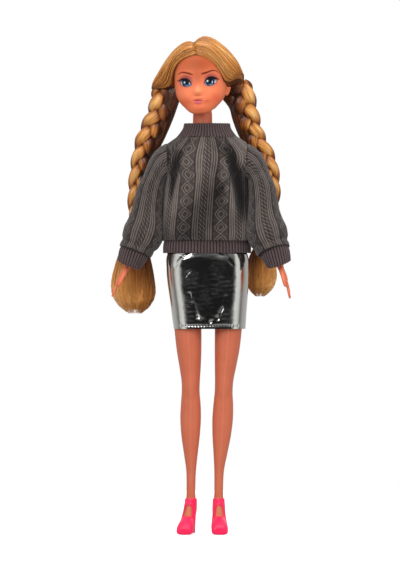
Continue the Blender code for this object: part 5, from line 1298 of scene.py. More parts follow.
def addArm(side, word):
    # Arm and hand as one moulding: shoulder ball, arm, palm, four fingers and a thumb.
    rings = []
    for out, down, radius, tilt in (
        (0, 0, 0.94, 0), (0.2, 0, 1.0, 0), (0.62, 0.12, 1.0, 25), (1.0, 0.5, 0.93, 52)
    ):
        centre = np.array((side * (18.6 + out * 6), 0, 217 - down * 6))
        angle = turns(32)
        lean = math.radians(tilt)
        height = 6 * radius * np.cos(angle)
        ring = np.column_stack(
            [side * math.sin(lean) * height, 6 * radius * np.sin(angle), math.cos(lean) * height]
        )
        rings.append(centre + ring)
    for share, bow, elbow, radius in arm["rows"]:
        size = radius * arm["radius"]
        rings.append(limbRing(side, armPoint(side, share, bow, elbow), aimOf(side, "aim"), size, size, 32))
    wrist = armPoint(side, 1.0)
    aim = aimOf(side, "handAim")
    for share, thick, wide in ((0.14, 1.0, 0.66), (0.28, 1.0, 0.92), (0.42, 0.94, 1.0), (0.52, 0.70, 0.95)):
        rings.append(limbRing(side, wrist + aim * share * 20.5, aim, thick * 1.75, wide * 3.7, 32))
    parts = [gridMesh("arm", denseRings(rings, 0.8))]
    outward = np.array((side * 1.0, 0, 0)) - aim * side * aim[0]
    outward /= np.linalg.norm(outward)
    forward = np.array((0, -1.0, 0)) + aim * aim[1]
    forward /= np.linalg.norm(forward)
    fingers = (
        (2.65, 0.93, 0.92, 0.35), (0.95, 1.00, 0.95, 0.1), (-0.85, 0.96, 0.92, -0.15),
        (-2.5, 0.84, 0.80, -0.45),
    )
    for place, length, size, fan in fingers:
        points = []
        for share, curl in ((0.36, 0.0), (0.55, 0.0), (0.72, -0.35), (0.86, -0.95), (length + 0.04, -1.5)):
            share = 0.36 + (share - 0.36) * (length - 0.36 + 0.04) / (length + 0.04 - 0.36)
            spreadOut = place + fan * (share - 0.36) * 3
            points.append(wrist + aim * share * 20.5 + forward * spreadOut + outward * curl)
        parts.append(tubeMesh("finger", points, [size, size, size * 0.95, size * 0.86, size * 0.66]))
    thumb = []
    for share, ahead, inward in (
        (0.14, 1.6, 0.0), (0.28, 3.9, 0.5), (0.44, 5.2, 0.9), (0.60, 5.5, 1.3), (0.70, 5.3, 1.5)
    ):
        thumb.append(wrist + aim * share * 20.5 + forward * ahead - outward * inward)
    parts.append(tubeMesh("thumb", thumb, [1.35, 1.3, 1.15, 1.05, 0.75]))
    mesh = fused("arm_skin_" + word, parts, 0.31, 4)
    showPiece("arm_skin_" + word, mesh, armSkin, "arm_" + word, ("arm_" + word,))


# Legs and shoes
leg = {
    "ankle": 24.0,
    "rows": (
        (0.000, 0.645, 0.325, 0.34, 0.36, -0.95), (0.040, 0.645, 0.325, 0.33, 0.36, -0.90),
        (0.095, 0.650, 0.355, 0.34, 0.42, -0.80), (0.170, 0.685, 0.500, 0.44, 0.58, -0.60),
        (0.265, 0.725, 0.690, 0.58, 0.80, -0.35), (0.340, 0.745, 0.756, 0.62, 0.86, -0.15),
        (0.400, 0.755, 0.720, 0.66, 0.78, 0.00), (0.455, 0.765, 0.655, 0.72, 0.68, 0.05),
        (0.500, 0.775, 0.670, 0.74, 0.70, 0.15), (0.560, 0.815, 0.770, 0.80, 0.80, 0.30),
        (0.640, 0.880, 0.900, 0.90, 0.90, 0.42), (0.735, 0.937, 0.987, 0.96, 0.96, 0.45),
        (0.810, 0.975, 1.035, 1.00, 1.00, 0.35), (0.870, 1.010, 1.050, 1.03, 1.05, 0.20),
        (0.920, 1.060, 0.990, 1.06, 1.08, 0.05),
    ),
    "top": (
        (-0.55, 1.095, 0.925), (0.00, 1.085, 0.905), (0.40, 1.050, 0.840), (0.70, 0.990, 0.700),
        (0.90, 0.890, 0.420),
    ),
    "foot": (
        (-0.01, 0.80, 12, 0.70, 0.88), (0.06, 0.62, 38, 0.76, 1.32), (0.27, 0.44, 52, 0.80, 1.08),
        (0.50, 0.245, 66, 0.96, 0.84), (0.68, 0.165, 84, 1.02, 0.60), (0.84, 0.135, 90, 0.94, 0.46),
        (0.95, 0.120, 90, 0.66, 0.34),
    ),
    "footTurn": {left: 2, right: 12},
}


def footFrame(side, points):
    # Points before the ankle, turned with the foot and put at its place.
    first = leg["rows"][0]
    angle = math.radians(side * leg["footTurn"][side])
    turned = points.copy()
    turned[..., 0] = points[..., 0] * math.cos(angle) - points[..., 1] * math.sin(angle)
    turned[..., 1] = points[..., 0] * math.sin(angle) + points[..., 1] * math.cos(angle)
    return turned + np.array((side * first[1] * 12.6 + first[5] * 1.4, 0, leg["ankle"]))


def footRings(side, grow, count):
    rings = []
    for forward, height, pitch, width, thick in leg["foot"]:
        angle = math.radians(pitch)
        reach = forward * 19 + (grow if forward == 0.95 else 0)
        centre = np.array((0, -reach, (height - 1) * leg["ankle"]))
        direction = np.array((0, -math.sin(angle), -math.cos(angle)))
        rings.append(
            footFrame(side, limbRing(1, centre, direction, width * 4.2 + grow, thick * 3.6 + grow, count))
        )
    return rings


def addLeg(side, word):
    # Leg and raised foot as one moulding, with a faint mould seam down its front.
    count = 96
    rings = footRings(side, 0, count)[::-1]
    for height, centre, width, front, back, lean in leg["rows"]:
        place = np.array((side * centre * 12.6 + lean * 1.4, 0, 24 + height * 129))
        rings.append(levelOval(place, width * 8, front * 8.5, back * 8.5, count))
    for height, centre, width in leg["top"]:
        depth = min(9.6 * math.sqrt(1 - height * height), 1.1 * 8.5)
        rings.append(
            levelOval(
                np.array((side * centre * 12.6, 0, 153 + height * 9.6)), width * 8, depth, depth, count
            )
        )
    grid = denseRings(rings, 0.55)
    normal = normalsOf(grid)
    z = grid[..., 2]
    middle = grid.mean(axis=1, keepdims=True)
    x = (grid - middle)[..., 0]
    ahead = step(0.0, -0.7, normal[..., 1])
    knee = 86.0
    relief = 0.38 * hill(z, knee + 1.5, 5.0) * hill(x, 0, 3.0)
    relief = relief - 0.30 * hill(z, knee - 6.5, 2.4) * (hill(x, 2.6, 1.3) + hill(x, -2.6, 1.3))
    relief = relief - 0.22 * hill(z, knee + 8.5, 2.6) * (hill(x, 3.4, 1.6) + hill(x, -3.4, 1.6))
    relief = relief + 0.20 * hill(z, knee - 5.5, 2.0) * hill(x, 0, 1.6)
    shin = 0.22 * hill(x, 0.3 * side, 1.0) * step(30, 45, z) * step(80, 66, z)
    line = hill(x, 0, 0.22) * step(26, 32, z)
    depth = (relief + shin + 0.03 * line) * ahead
    grid = grid + normal * depth[..., None]
    inner = side * 6.3
    flat = z > 142.5
    grid[..., 0] = np.where(flat & (side * grid[..., 0] < side * inner), inner, grid[..., 0])
    mesh = gridMesh("leg_skin_" + word, grid, values={"seam": line * ahead})
    showPiece("leg_skin_" + word, mesh, bodySkin, "leg_" + word, ("leg_" + word,))


def prismMesh(name, outline, low, high, side):
    # A side outline pushed through the shoe from side to side.
    rows = []
    for level in (low, high):
        ring = np.array([(level, along, up - leg["ankle"]) for along, up in outline], float)
        rows.append(footFrame(side, ring))
    return gridMesh(name, np.array(rows))


shoe = {
    # forward, half width, bottom and top of the toe box
    "toe": (
        (7.6, 3.70, 2.9, 12.2), (9.4, 4.00, 1.5, 10.8), (11.4, 4.45, 0.4, 9.8), (13.6, 4.75, 0.0, 8.7),
        (15.8, 4.85, 0.0, 7.4), (17.6, 4.75, 0.0, 6.1), (18.9, 4.40, 0.1, 4.9), (19.6, 3.70, 0.5, 3.9),
    ),
}


def toeBox(side):
    rings = []
    angle = turns(64)
    for forward, wide, low, high in shoe["toe"]:
        c, s = np.cos(angle), np.sin(angle)
        power = np.where(s < 0, 2 / 5.0, 2 / 2.5)
        x = wide * np.sign(c) * np.abs(c) ** (2 / 3.0) * (1 - 0.13 * np.clip(s, 0, 1))
        z = (low + high) / 2 + (high - low) / 2 * np.sign(s) * np.abs(s) ** power
        rings.append(footFrame(side, np.column_stack([x, np.full(64, -forward), z - leg["ankle"]])))
    return gridMesh("toe", denseRings(rings, 0.3))


def archMesh(side):
    # The opening over the instep: an arch under the strap, down to the edge of the toe box
    rows = []
    for forward, low in ((-0.9, 13.6), (3.0, 11.4), (7.4, 9.7), (9.6, 10.2), (20.0, 12.6)):
        angle = np.linspace(0, math.pi, 25)
        spring = max(12.6, low + 0.2)
        x = np.concatenate([2.35 * np.cos(angle), np.linspace(-2.35, 2.35, 9)])
        z = np.concatenate([spring + (16.8 - spring) * np.sin(angle), np.full(9, low)])
        rows.append(footFrame(side, np.column_stack([x, np.full(34, -forward), z - leg["ankle"]])))
    return gridMesh("arch", np.array(rows))


def addShoe(side, word):
    # One-piece vinyl shoe: square toe, ankle strap, closed sides and heel.
    first = leg["rows"][0]
    ankle = np.array((0, 0, -1.0))
    outer = [
        footFrame(
            side, limbRing(1, np.array((0, 0, 1.0)), ankle, first[2] * 8 + 0.56, first[4] * 8.5 + 0.56, 48)
        )
    ]
    outer += footRings(side, 0.60, 48)
    parts = [gridMesh("upper", denseRings(outer, 0.4)), toeBox(side)]
    heel = []
    for level, size in ((0, 0.80), (6, 0.86), (12.4, 1.0)):
        angle = turns(32)
        x = 2.35 * size * np.sign(np.cos(angle)) * np.abs(np.cos(angle)) ** 0.6
        y = 3.5 - (1 - size) * 2 + 2.2 * size * np.sign(np.sin(angle)) * np.abs(np.sin(angle)) ** 0.6
        heel.append(footFrame(side, np.column_stack([x, y, np.full(32, level - 24.0)])))
    parts.append(gridMesh("heel", denseRings(heel, 0.6)))
    above = ((-20, 20.3), (20, 20.3), (20, 40), (-20, 40))
    cuts = [archMesh(side), prismMesh("above", above, -14, 14, side)]
    hollow = footRings(side, 0.08, 48)
    hollow.insert(
        0,
        footFrame(
            side,
            limbRing(
                1,
                np.array((0, 0, 0.3)),
                np.array((0, 0, -1.0)),
                first[2] * 8 + 0.06,
                first[4] * 8.5 + 0.06,
                48,
            ),
        ),
    )
    cuts.append(gridMesh("hollow", denseRings(hollow, 0.5)))
    mesh = fused("shoe_vinyl_" + word, parts, 0.24, 3, cuts)
    showPiece("shoe_vinyl_" + word, mesh, shoeVinyl, "leg_" + word, ("shoe_" + word,))


for side, word in sides:
    addArm(side, word)
    addLeg(side, word)
    addShoe(side, word)
print("limbs and shoes made")

# Sweater
sweater = {
    # The body's creases: from, to, how far out and how wide
    "creases": (
        ((13.4, 223), (22.8, 184), -2.3, 3.4),
        ((8.8, 220), (17.4, 184), 0.9, 3.0),
        ((-17.0, 221), (-22.8, 192), -1.7, 2.8),
        ((-13.0, 219), (-19.4, 190), 0.6, 2.8),
        ((4.0, 196), (14.0, 207), -0.6, 2.6),
    ),
    "plane": 23.0,
    "front": 16.7,
    "back": 14.4,
    "bottom": 170.7,
    "top": 231.7,
    "period": 20.33,
    "rows": (
        (0.000, 1.135, 0.935, 1.020), (0.050, 1.160, 0.985, 1.070), (0.130, 1.160, 0.970, 1.050),
        (0.260, 1.135, 0.935, 0.990),
        (0.400, 1.112, 0.955, 0.965), (0.490, 1.105, 0.970, 0.958), (0.560, 1.085, 0.980, 0.953),
        (0.611, 1.088, 0.975, 0.950), (0.677, 1.280, 0.940, 0.940),
        (0.759, 1.420, 0.895, 0.920), (0.841, 1.360, 0.840, 0.895), (0.907, 1.136, 0.790, 0.870),
        (0.946, 0.985, 0.755, 0.850), (1.000, 0.760, 0.715, 0.820),
    ),
}


def knitHeight(a, z):
    # Relief of the cable pattern, 0 to 1, across the columns and along them in millimetres
    period = sweater["period"]
    a = (a + period / 2) % period - period / 2
    both = np.abs(a)
    strokes = 0.5 + 0.5 * np.cos(2 * math.pi * (z + 1.6 * a) / 2.45 + math.pi * (a > 0))
    height = 0.95 * np.clip(1 - ((both - 0.95) / 0.92) ** 2, 0, 1) ** 0.5 * strokes
    for centre in (2.50, 3.75, 5.0):
        height = np.maximum(height, 0.80 * np.clip(1 - ((both - centre) / 0.56) ** 2, 0, 1) ** 0.6)
    b = (both - period / 2) * np.sign(a + 1e-9)
    along = z / 7.6
    b = b + 0.22 * np.sin(0.9 * z)
    zigzag = 1 - np.abs(2 * (along - np.floor(along)) - 1)
    for way in (1, -1):
        height = np.maximum(height, 0.85 * hill(b, way * 3.5 * zigzag**0.85, 0.40))
    middle = (along - 0.5 - np.round(along - 0.5)) * 7.6
    ring = (np.abs(b) ** 1.2 + np.abs(0.85 * middle) ** 1.2) ** (1 / 1.2)
    height = np.maximum(height, 0.78 * hill(ring, 1.75, 0.42))
    height = np.maximum(
        height, 0.34 + 0.18 * np.sin(2 * math.pi * a / 1.05) * np.sin(2 * math.pi * z / 1.05)
    )
    height = height - 0.3 * hill(both, 5.85, 0.25)
    knots = hill(np.abs(b), 3.5, 0.5) * hill(np.abs(middle), 3.8, 0.9)
    return np.maximum(height, 0.6 * knots)


def knitLightAndShade(pattern):
    # Painted light and shade over the relief: lit ridges, a middle ground, shaded feet of the ridges
    return 0.08 + 0.72 * step(0.05, 0.95, pattern)


def superOval(angle, halfWidth, front, back, power):
    c, s = np.cos(angle), np.sin(angle)
    x = halfWidth * np.sign(c) * np.abs(c) ** (2 / power)
    y = np.where(s > 0, back, front) * np.sign(s) * np.abs(s) ** (2 / power)
    return x, y


def ringShare(x, y):
    # Share of the way round each ring by its length.
    gaps = np.hypot(np.diff(x, axis=1, append=x[:, :1]), np.diff(y, axis=1, append=y[:, :1]))
    total = np.cumsum(gaps, axis=1)
    return np.column_stack([np.zeros(len(x)), total[:, :-1]]) / total[:, -1:]


def evenRings(widths, fronts, backs, powers, count):
    # Points spaced evenly along each oval, from the middle of the front round to the left.
    dense = np.linspace(0, 2 * math.pi, 1441)[:-1] - math.pi / 2
    x, y = superOval(dense[None], widths[:, None], fronts[:, None], backs[:, None], powers[:, None])
    share = ringShare(x, y)
    wanted = np.arange(count) / count
    out = np.zeros((len(widths), count, 2))
    for n in range(len(widths)):
        key = np.append(share[n], 1.0)
        out[n, :, 0] = np.interp(wanted, key, np.append(x[n], x[n, 0]))
        out[n, :, 1] = np.interp(wanted, key, np.append(y[n], y[n, 0]))
    return out


def bodyFolds(x, y, z):
    # How far the sweater's folds push it in or out, in millimetres.
    ahead = step(4, -6, y)
    out = 0 * x
    for start, end, depth, width in sweater["creases"]:
        part, gap = nearStretch(x, z, start, end)
        fade = np.sin(np.pi * np.clip(0.12 + 0.8 * part, 0, 1))
        out = out + depth * np.exp(-((gap / width) ** 2)) * fade * ahead
    out = out * step(24.0, 20.0, np.abs(x))
    out = out + 0.40 * waves(91, 8, 0.10, 0.28)(x * 1.5 + y, z * 0.6)
    return out


def addSweaterBody(bands):
    columns, lines = 504, 226
    share = np.linspace(0, 1, lines)
    table = smoothRead(sweater["rows"], share)
    width = table[:, 0] * sweater["plane"]
    front, back = table[:, 1] * sweater["front"], table[:, 2] * sweater["back"]
    power = 2.6 + (2 - 2.6) * share
    ring = evenRings(width, front, back, power, columns)
    z = (sweater["bottom"] + share * (sweater["top"] - sweater["bottom"]))[:, None]
    grid = np.stack([ring[..., 0], ring[..., 1], z + 0 * ring[..., 0]], -1)
    wall = np.where(share > 0.59, sweater["plane"], 40.0)[:, None]
    grid[..., 0] = np.clip(grid[..., 0], -wall, wall)
    normal = normalsOf(grid)
    reach = np.arange(columns) / columns
    girth = 4 * sweater["period"] * 1.6
    a = np.where(reach < 0.5, reach, reach - 1)[None] * girth * 1.0
    skew = 3.0 - 3.4 * step(172, 232, z) + 0 * a
    pattern = knitHeight(a + skew, z + 0 * a)
    worn = np.where(np.abs(grid[..., 0]) > wall - 0.05, 0.0, 1.0)
    swell = bodyFolds(grid[..., 0], grid[..., 1], z)
    edge = step(0, 0.012, share)[:, None] * step(1.0, 0.985, share)[:, None]
    grid = grid + normal * (swell + (0.58 * pattern - 0.55) * worn * edge)[..., None]
    # painted shade in the fold hollows and where the edges tuck under collar and hem, a little painted
    # light on the swells
    tone = knitLightAndShade(pattern) - 0.3 * (1 - edge) + 0.56 * np.clip(swell, -2, 0.3)
    innerShare = np.linspace(1, 0, 8)
    inner = []
    for one in innerShare:
        row = int(round(one * (lines - 1)))
        inner.append(grid[row] - normal[row] * 0.9)
    full = np.concatenate([grid, np.array(inner)])
    # painted shade: the sweater's inside toned dark
    fullTone = np.concatenate([tone, np.full((8, columns), 0.1)])
    u = np.concatenate([a + 0 * z, np.tile(a, (8, 1))]) / 10
    v = np.concatenate(
        [z + 0 * a, np.tile((sweater["bottom"] + innerShare * 61)[:, None], (1, columns))]
    ) / 10
    half = columns // 2
    quarter = columns // 4
    cuts = {
        "front": np.arange(-quarter, quarter + 1) % columns,
        "back": np.arange(quarter, half + quarter + 1) % columns,
    }
    for word, chosen in cuts.items():
        part = full[:, chosen]
        au = u[:, chosen].copy()
        if word == "back":
            au = np.where(au < 0, au + girth / 10, au)
        mesh = gridMesh(
            "sweater_" + word,
            part,
            closed=False,
            looped=True,
            values={"tone": fullTone[:, chosen]},
            uv=(au, v[:, chosen]),
            capped=True,
        )
        stands = ("sweater_body",) if word == "front" else ()
        piece = showPiece("sweater_" + word, mesh, knit, "torso", stands, sharp=70)


def ribTree():
    # Geometry nodes: pushes a smooth band out in ribs, by the turn stored on it, and sets its yarn; the
    # tone it stores is painted shade in the rib grooves and on the inner side, light on the ribs.
    tree = bpy.data.node_groups.new("rib_bands", "GeometryNodeTree")
    face = tree.interface
    face.new_socket("Geometry", in_out="INPUT", socket_type="NodeSocketGeometry")
    for name, kind in (
        ("Ribs", "NodeSocketFloat"), ("Depth", "NodeSocketFloat"), ("Yarn", "NodeSocketMaterial")
    ):
        face.new_socket(name, in_out="INPUT", socket_type=kind)
    face.new_socket("Geometry", in_out="OUTPUT", socket_type="NodeSocketGeometry")
    source = addNode(tree, "NodeGroupInput")
    values = []
    for name in ("turn", "ease"):
        node = addNode(tree, "GeometryNodeInputNamedAttribute", {"data_type": "FLOAT"}, {"Name": name})
        values.append(node.outputs["Attribute"])
    steps = (
        ("MULTIPLY", source.outputs["Ribs"]),
        ("MULTIPLY", math.pi),
        ("SINE", 0.0),
        ("ABSOLUTE", 0.0),
        ("POWER", 0.75),
        ("MULTIPLY", values[1]),
    )
    shaped = values[0]
    for operation, second in steps:
        inputs = {0: shaped, 1: second}
        shaped = addNode(tree, "ShaderNodeMath", {"operation": operation}, inputs).outputs[0]
    sunk = layered(tree, -1.0, ((shaped, 1.0),))
    depth = layered(tree, 0.0, ((sunk, source.outputs["Depth"]),))
    normal = addNode(tree, "GeometryNodeInputNormal").outputs["Normal"]
    inputs = {0: normal, "Scale": depth}
    offset = addNode(tree, "ShaderNodeVectorMath", {"operation": "SCALE"}, inputs).outputs["Vector"]
    inputs = {"Geometry": source.outputs["Geometry"], "Offset": offset}
    moved = addNode(tree, "GeometryNodeSetPosition", None, inputs).outputs["Geometry"]
    # painted shade: tone low in the grooves between ribs, high on the ribs
    inputs = {"Geometry": moved, "Name": "tone", "Value": layered(tree, 0.05, ((shaped, 0.8),))}
    settings = {"data_type": "FLOAT", "domain": "POINT"}
    kept = addNode(tree, "GeometryNodeStoreNamedAttribute", settings, inputs).outputs["Geometry"]
    real = addNode(tree, "GeometryNodeRealizeInstances", None, {"Geometry": kept}).outputs["Geometry"]
    inputs = {"Geometry": real, "Material": source.outputs["Yarn"]}
    worn = addNode(tree, "GeometryNodeSetMaterial", None, inputs)
    last = addNode(tree, "NodeGroupOutput")
    tree.links.new(worn.outputs["Geometry"], last.inputs["Geometry"])
    return tree


def withNodes(piece, tree, values):
    # The piece's mesh after a node tree with these named inputs.
    modifier = piece.modifiers.new("nodes", "NODES")
    modifier.node_group = tree
    for item in tree.interface.items_tree:
        if item.item_type == "SOCKET" and item.in_out == "INPUT" and item.name in values:
            modifier[item.identifier] = values[item.name]
    return applied(piece)


def ribbedBand(name, outer, normal, ribs, depth, thickness, body, stands):
    # A closed knitted band from its outer rings, ribbed by the node tree.
    lines, cols = outer.shape[:2]
    lip = []
    for angle in np.linspace(0, math.pi, 7)[1:-1]:
        lip.append((math.sin(angle), (1 - math.cos(angle)) / 2))
    along = outer[-1] - outer[-2]
    along /= np.linalg.norm(along, axis=1, keepdims=True)
    below = outer[0] - outer[1]
    below /= np.linalg.norm(below, axis=1, keepdims=True)
    rows = [outer]
    ease = [np.ones(lines)]
    rows.append(
        np.array(
            [outer[-1] + along * 0.45 * thickness * up - normal[-1] * thickness * part for up, part in lip]
        )
    )
    ease.append(np.linspace(1, 0.6, len(lip)))
    inner = np.array(
        [outer[n] - normal[n] * thickness for n in np.linspace(lines - 1, 0, 7).round().astype(int)]
    )
    rows.append(inner)
    ease.append(np.full(7, 0.4))
    rows.append(
        np.array(
            [
                outer[0] + below * 0.45 * thickness * up - normal[0] * thickness * part for up,
                part in lip[::-1]
            ]
        )
    )
    ease.append(np.linspace(0.6, 1, len(lip)))
    full = np.concatenate(rows)
    turn = np.tile(np.arange(cols) / cols, (len(full), 1))
    softness = np.tile(np.concatenate(ease)[:, None], (1, cols))
    heights = np.concatenate([[0], np.cumsum(np.linalg.norm(np.diff(full[:, 0], axis=0), axis=1))])
    u = turn * ribs * 0.18
    v = np.tile(heights[:, None] / 10, (1, cols))
    mesh = gridMesh(name, full, looped=True, values={"turn": turn, "ease": softness}, uv=(u, v))
    mesh.materials.append(ribKnit)
    mesh.shade_smooth()
    piece = loosePiece(name + ".plain", mesh)
    made = withNodes(piece, ribNodes, {"Ribs": float(ribs), "Depth": depth * mm, "Yarn": ribKnit})
    return showPiece(name, made, ribKnit, body, stands)


ribNodes = ribTree()


def tableBand(rows, bottom, top, powerLow, powerHigh, columns, lines):
    share = np.linspace(0, 1, lines)
    table = smoothRead(rows, share)
    power = powerLow + (powerHigh - powerLow) * share
    ring = evenRings(table[:, 0] * 23.0, table[:, 1] * 16.7, table[:, 2] * 14.4, power, columns)
    z = (bottom + share * (top - bottom))[:, None] + 0 * ring[..., 0]
    return np.stack([ring[..., 0], ring[..., 1], z], -1)


def addBands():
    collar = (
        (0.0, 0.770, 0.720, 0.825), (0.30, 0.690, 0.665, 0.765), (0.65, 0.615, 0.615, 0.705),
        (1.0, 0.587, 0.590, 0.680),
    )
    grid = tableBand(collar, 231.6, 239.2, 2, 2, 450, 26)
    first = ribbedBand("collar_rib", grid, normalsOf(grid), 50, 0.5, 1.1, "torso", ("sweater_collar",))
    hem = ((0.0, 1.120, 0.870, 0.960), (0.5, 1.118, 0.865, 0.955), (1.0, 1.090, 0.880, 0.965))
    grid = tableBand(hem, 164.0, 171.4, 2.6, 2.6, 648, 26)
    return first, ribbedBand("hem_rib", grid, normalsOf(grid), 72, 0.5, 1.0, "torso", ("sweater_hem",))


sleeve = {
    "radius": 10.2,
    "puff": 2.6,
    "cap": (
        (0.00, 0.00, 1.00, 1.00, 0), (0.21, 0.09, 0.95, 1.00, 12), (0.37, 0.25, 0.855, 0.99, 24),
        (0.52, 0.55, 0.715, 0.97, 44),
    ),
    "rows": (
        (0.17, 1.88, 0.680, 1.030), (0.28, 1.71, 0.830, 0.985), (0.40, 1.06, 0.886, 0.960),
        (0.50, 0.40, 0.956, 0.945),
        (0.60, -0.18, 1.091, 1.010), (0.70, -0.34, 1.140, 1.050), (0.785, -0.42, 1.120, 1.030),
        (0.872, -0.20, 0.950, 0.930),
    ),
}


def sleeveRing(side, row, count, lean=0.0):
    share, puff, width, depth = row
    aim = aimOf(side, "aim") + np.array((0, lean, 0))
    centre = armPoint(side, share) + np.array((side * puff * sleeve["puff"], 0, 0))
    return limbRing(
        side, centre, aim / np.linalg.norm(aim), width * sleeve["radius"], depth * sleeve["radius"], count
    )


def sleeveFolds(side, along, around, z):
    out = 0.45 * waves(101 + side, 8, 0.12, 0.35)(around * 1.2, z * 0.8)
    out = out - 0.9 * hill(along, 0.93, 0.03) + 0.55 * hill(along, 0.80, 0.06)
    return out


def addSleeve(side, word):
    columns = 220
    rings = []
    for out, down, height, depth, tilt in sleeve["cap"]:
        centre = np.array((side * (23.0 + out * 11.4), 0, 217 - down * 11.4))
        angle = turns(columns)
        lean = math.radians(tilt)
        up = 11.4 * height * np.cos(angle)
        rings.append(
            centre + np.column_stack(
                [side * math.sin(lean) * up, 11.4 * depth * np.sin(angle), math.cos(lean) * up]
            )
        )
    tucked = rings[0].copy()
    tucked[:, 0] -= side * 1.6
    rings.insert(
        0, np.array((side * 21.4, 0, 217.0)) + (tucked - np.array((side * 21.4, 0, 217.0))) * 0.965
    )
    for row in sleeve["rows"]:
        rings.append(sleeveRing(side, row, columns))
    grid = denseRings(rings, 0.28)
    for _ in range(128):
        grid[1:-1] = (grid[:-2] + 2 * grid[1:-1] + grid[2:]) / 4
    lines = len(grid)
    normal = normalsOf(grid)
    along = np.linspace(0, 1, lines)[:, None]
    reach = np.arange(columns) / columns
    a = np.where(reach < 0.5, reach, reach - 1)[None] * sweater["period"] * 3 * side
    lengthwise = np.concatenate(
        [[0], np.cumsum(np.linalg.norm(np.diff(grid.mean(axis=1), axis=0), axis=1))]
    )[:, None]
    pattern = knitHeight(a - 5.2 * side + 0 * lengthwise, -lengthwise + 0 * a)
    swell = sleeveFolds(side, along, a, lengthwise)
    edge = step(1.2, 2.0, lengthwise) * step(1.0, 0.985, along)
    seam = 0.20 * hill(lengthwise, 2.2, 0.5)
    grid = grid + normal * (
        swell * step(0.05, 0.3, along) + 0.58 * pattern * edge - 0.5 * edge + seam
    )[..., None]
    # painted shade where the sleeve tucks into the armhole
    tone = knitLightAndShade(pattern * edge) - 0.12 * hill(lengthwise, 1.5, 0.5)
    rowsIn = np.linspace(lines - 1, 0, 10).round().astype(int)
    inner = np.array([grid[n] - normal[n] * 0.9 for n in rowsIn])
    full = np.concatenate([grid, inner])
    u = np.tile(np.arange(columns + 0) / columns, (len(full), 1)) * sweater["period"] * 0.3
    v = np.concatenate([lengthwise, lengthwise[rowsIn]]) / 10 + 0 * u
    # painted shade: the sleeve's inside toned dark
    tones = np.concatenate([tone, np.full((10, columns), 0.1)])
    mesh = gridMesh("sleeve_" + word, full, looped=True, values={"tone": tones}, uv=(u, v))
    piece = showPiece("sleeve_" + word, mesh, knit, None, ("sweater_sleeve_" + word,))
    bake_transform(piece)
    rings = []
    tuck = 0.16 + arm["aim"][side][1]
    for share, puff, radius, lean in (
        (0.862, -0.10, 0.83, 0.0), (0.90, -0.08, 0.845, 0.2), (0.95, -0.06, 0.79, 0.6),
        (0.995, -0.05, 0.72, 1.0),
    ):
        rings.append(sleeveRing(side, (share, puff, radius, radius), 330, tuck * lean))
    grid = denseRings(rings, 0.33)
    cuff = ribbedBand(
        "cuff_rib_" + word, grid, normalsOf(grid), 30, 0.5, 1.0, "arm_" + word, ("sweater_cuff_" + word,)
    )


addSweaterBody(addBands())
for side, word in sides:
    addSleeve(side, word)
print("sweater made")

# Skirt
skirt = {
    "top": 169.4,
    "length": 50.0,
    "halfWidth": 24.2,
    "halfDepth": 13.0,
    "creases": (
        (
            (
                (-9.8, 140.0), (-8.8, 134.5), (-5.5, 126.5), (0.5, 122.6), (6.0, 125.5), (9.4, 131.5),
                (10.4, 137.5),
            ),
            0.30,
        ),
        (((-18.4, 156.5), (-14.5, 161.0), (-9.5, 163.2)), 0.22),
        (((15.0, 157.0), (11.0, 161.5), (6.0, 163.0)), 0.16),
        (((-14.0, 150.0), (-9.0, 153.5)), 0.14),
    ),
    "rows": (
        (0.000, 0.800, 0.880, 0.0), (0.060, 0.905, 0.945, 0.0), (0.150, 0.985, 0.990, 0.1),
        (0.300, 1.000, 1.000, 0.3), (0.650, 0.942, 0.965, 0.6), (1.000, 0.868, 0.925, 1.0),
    ),
}


def skirtGrid(low, high, lines, columns, inset):
    share = np.linspace(low, high, lines)
    table = smoothRead(skirt["rows"], share)
    width, depth = table[:, 0] * skirt["halfWidth"] - inset, table[:, 1] * skirt["halfDepth"] - inset
    ring = evenRings(width, depth, depth, np.full(lines, 2.6), columns)
    z = (skirt["top"] - share * skirt["length"])[:, None] + 0 * ring[..., 0]
    x = ring[..., 0] + (table[:, 2] * 1.5)[:, None]
    return np.stack([x, ring[..., 1], z], -1), share


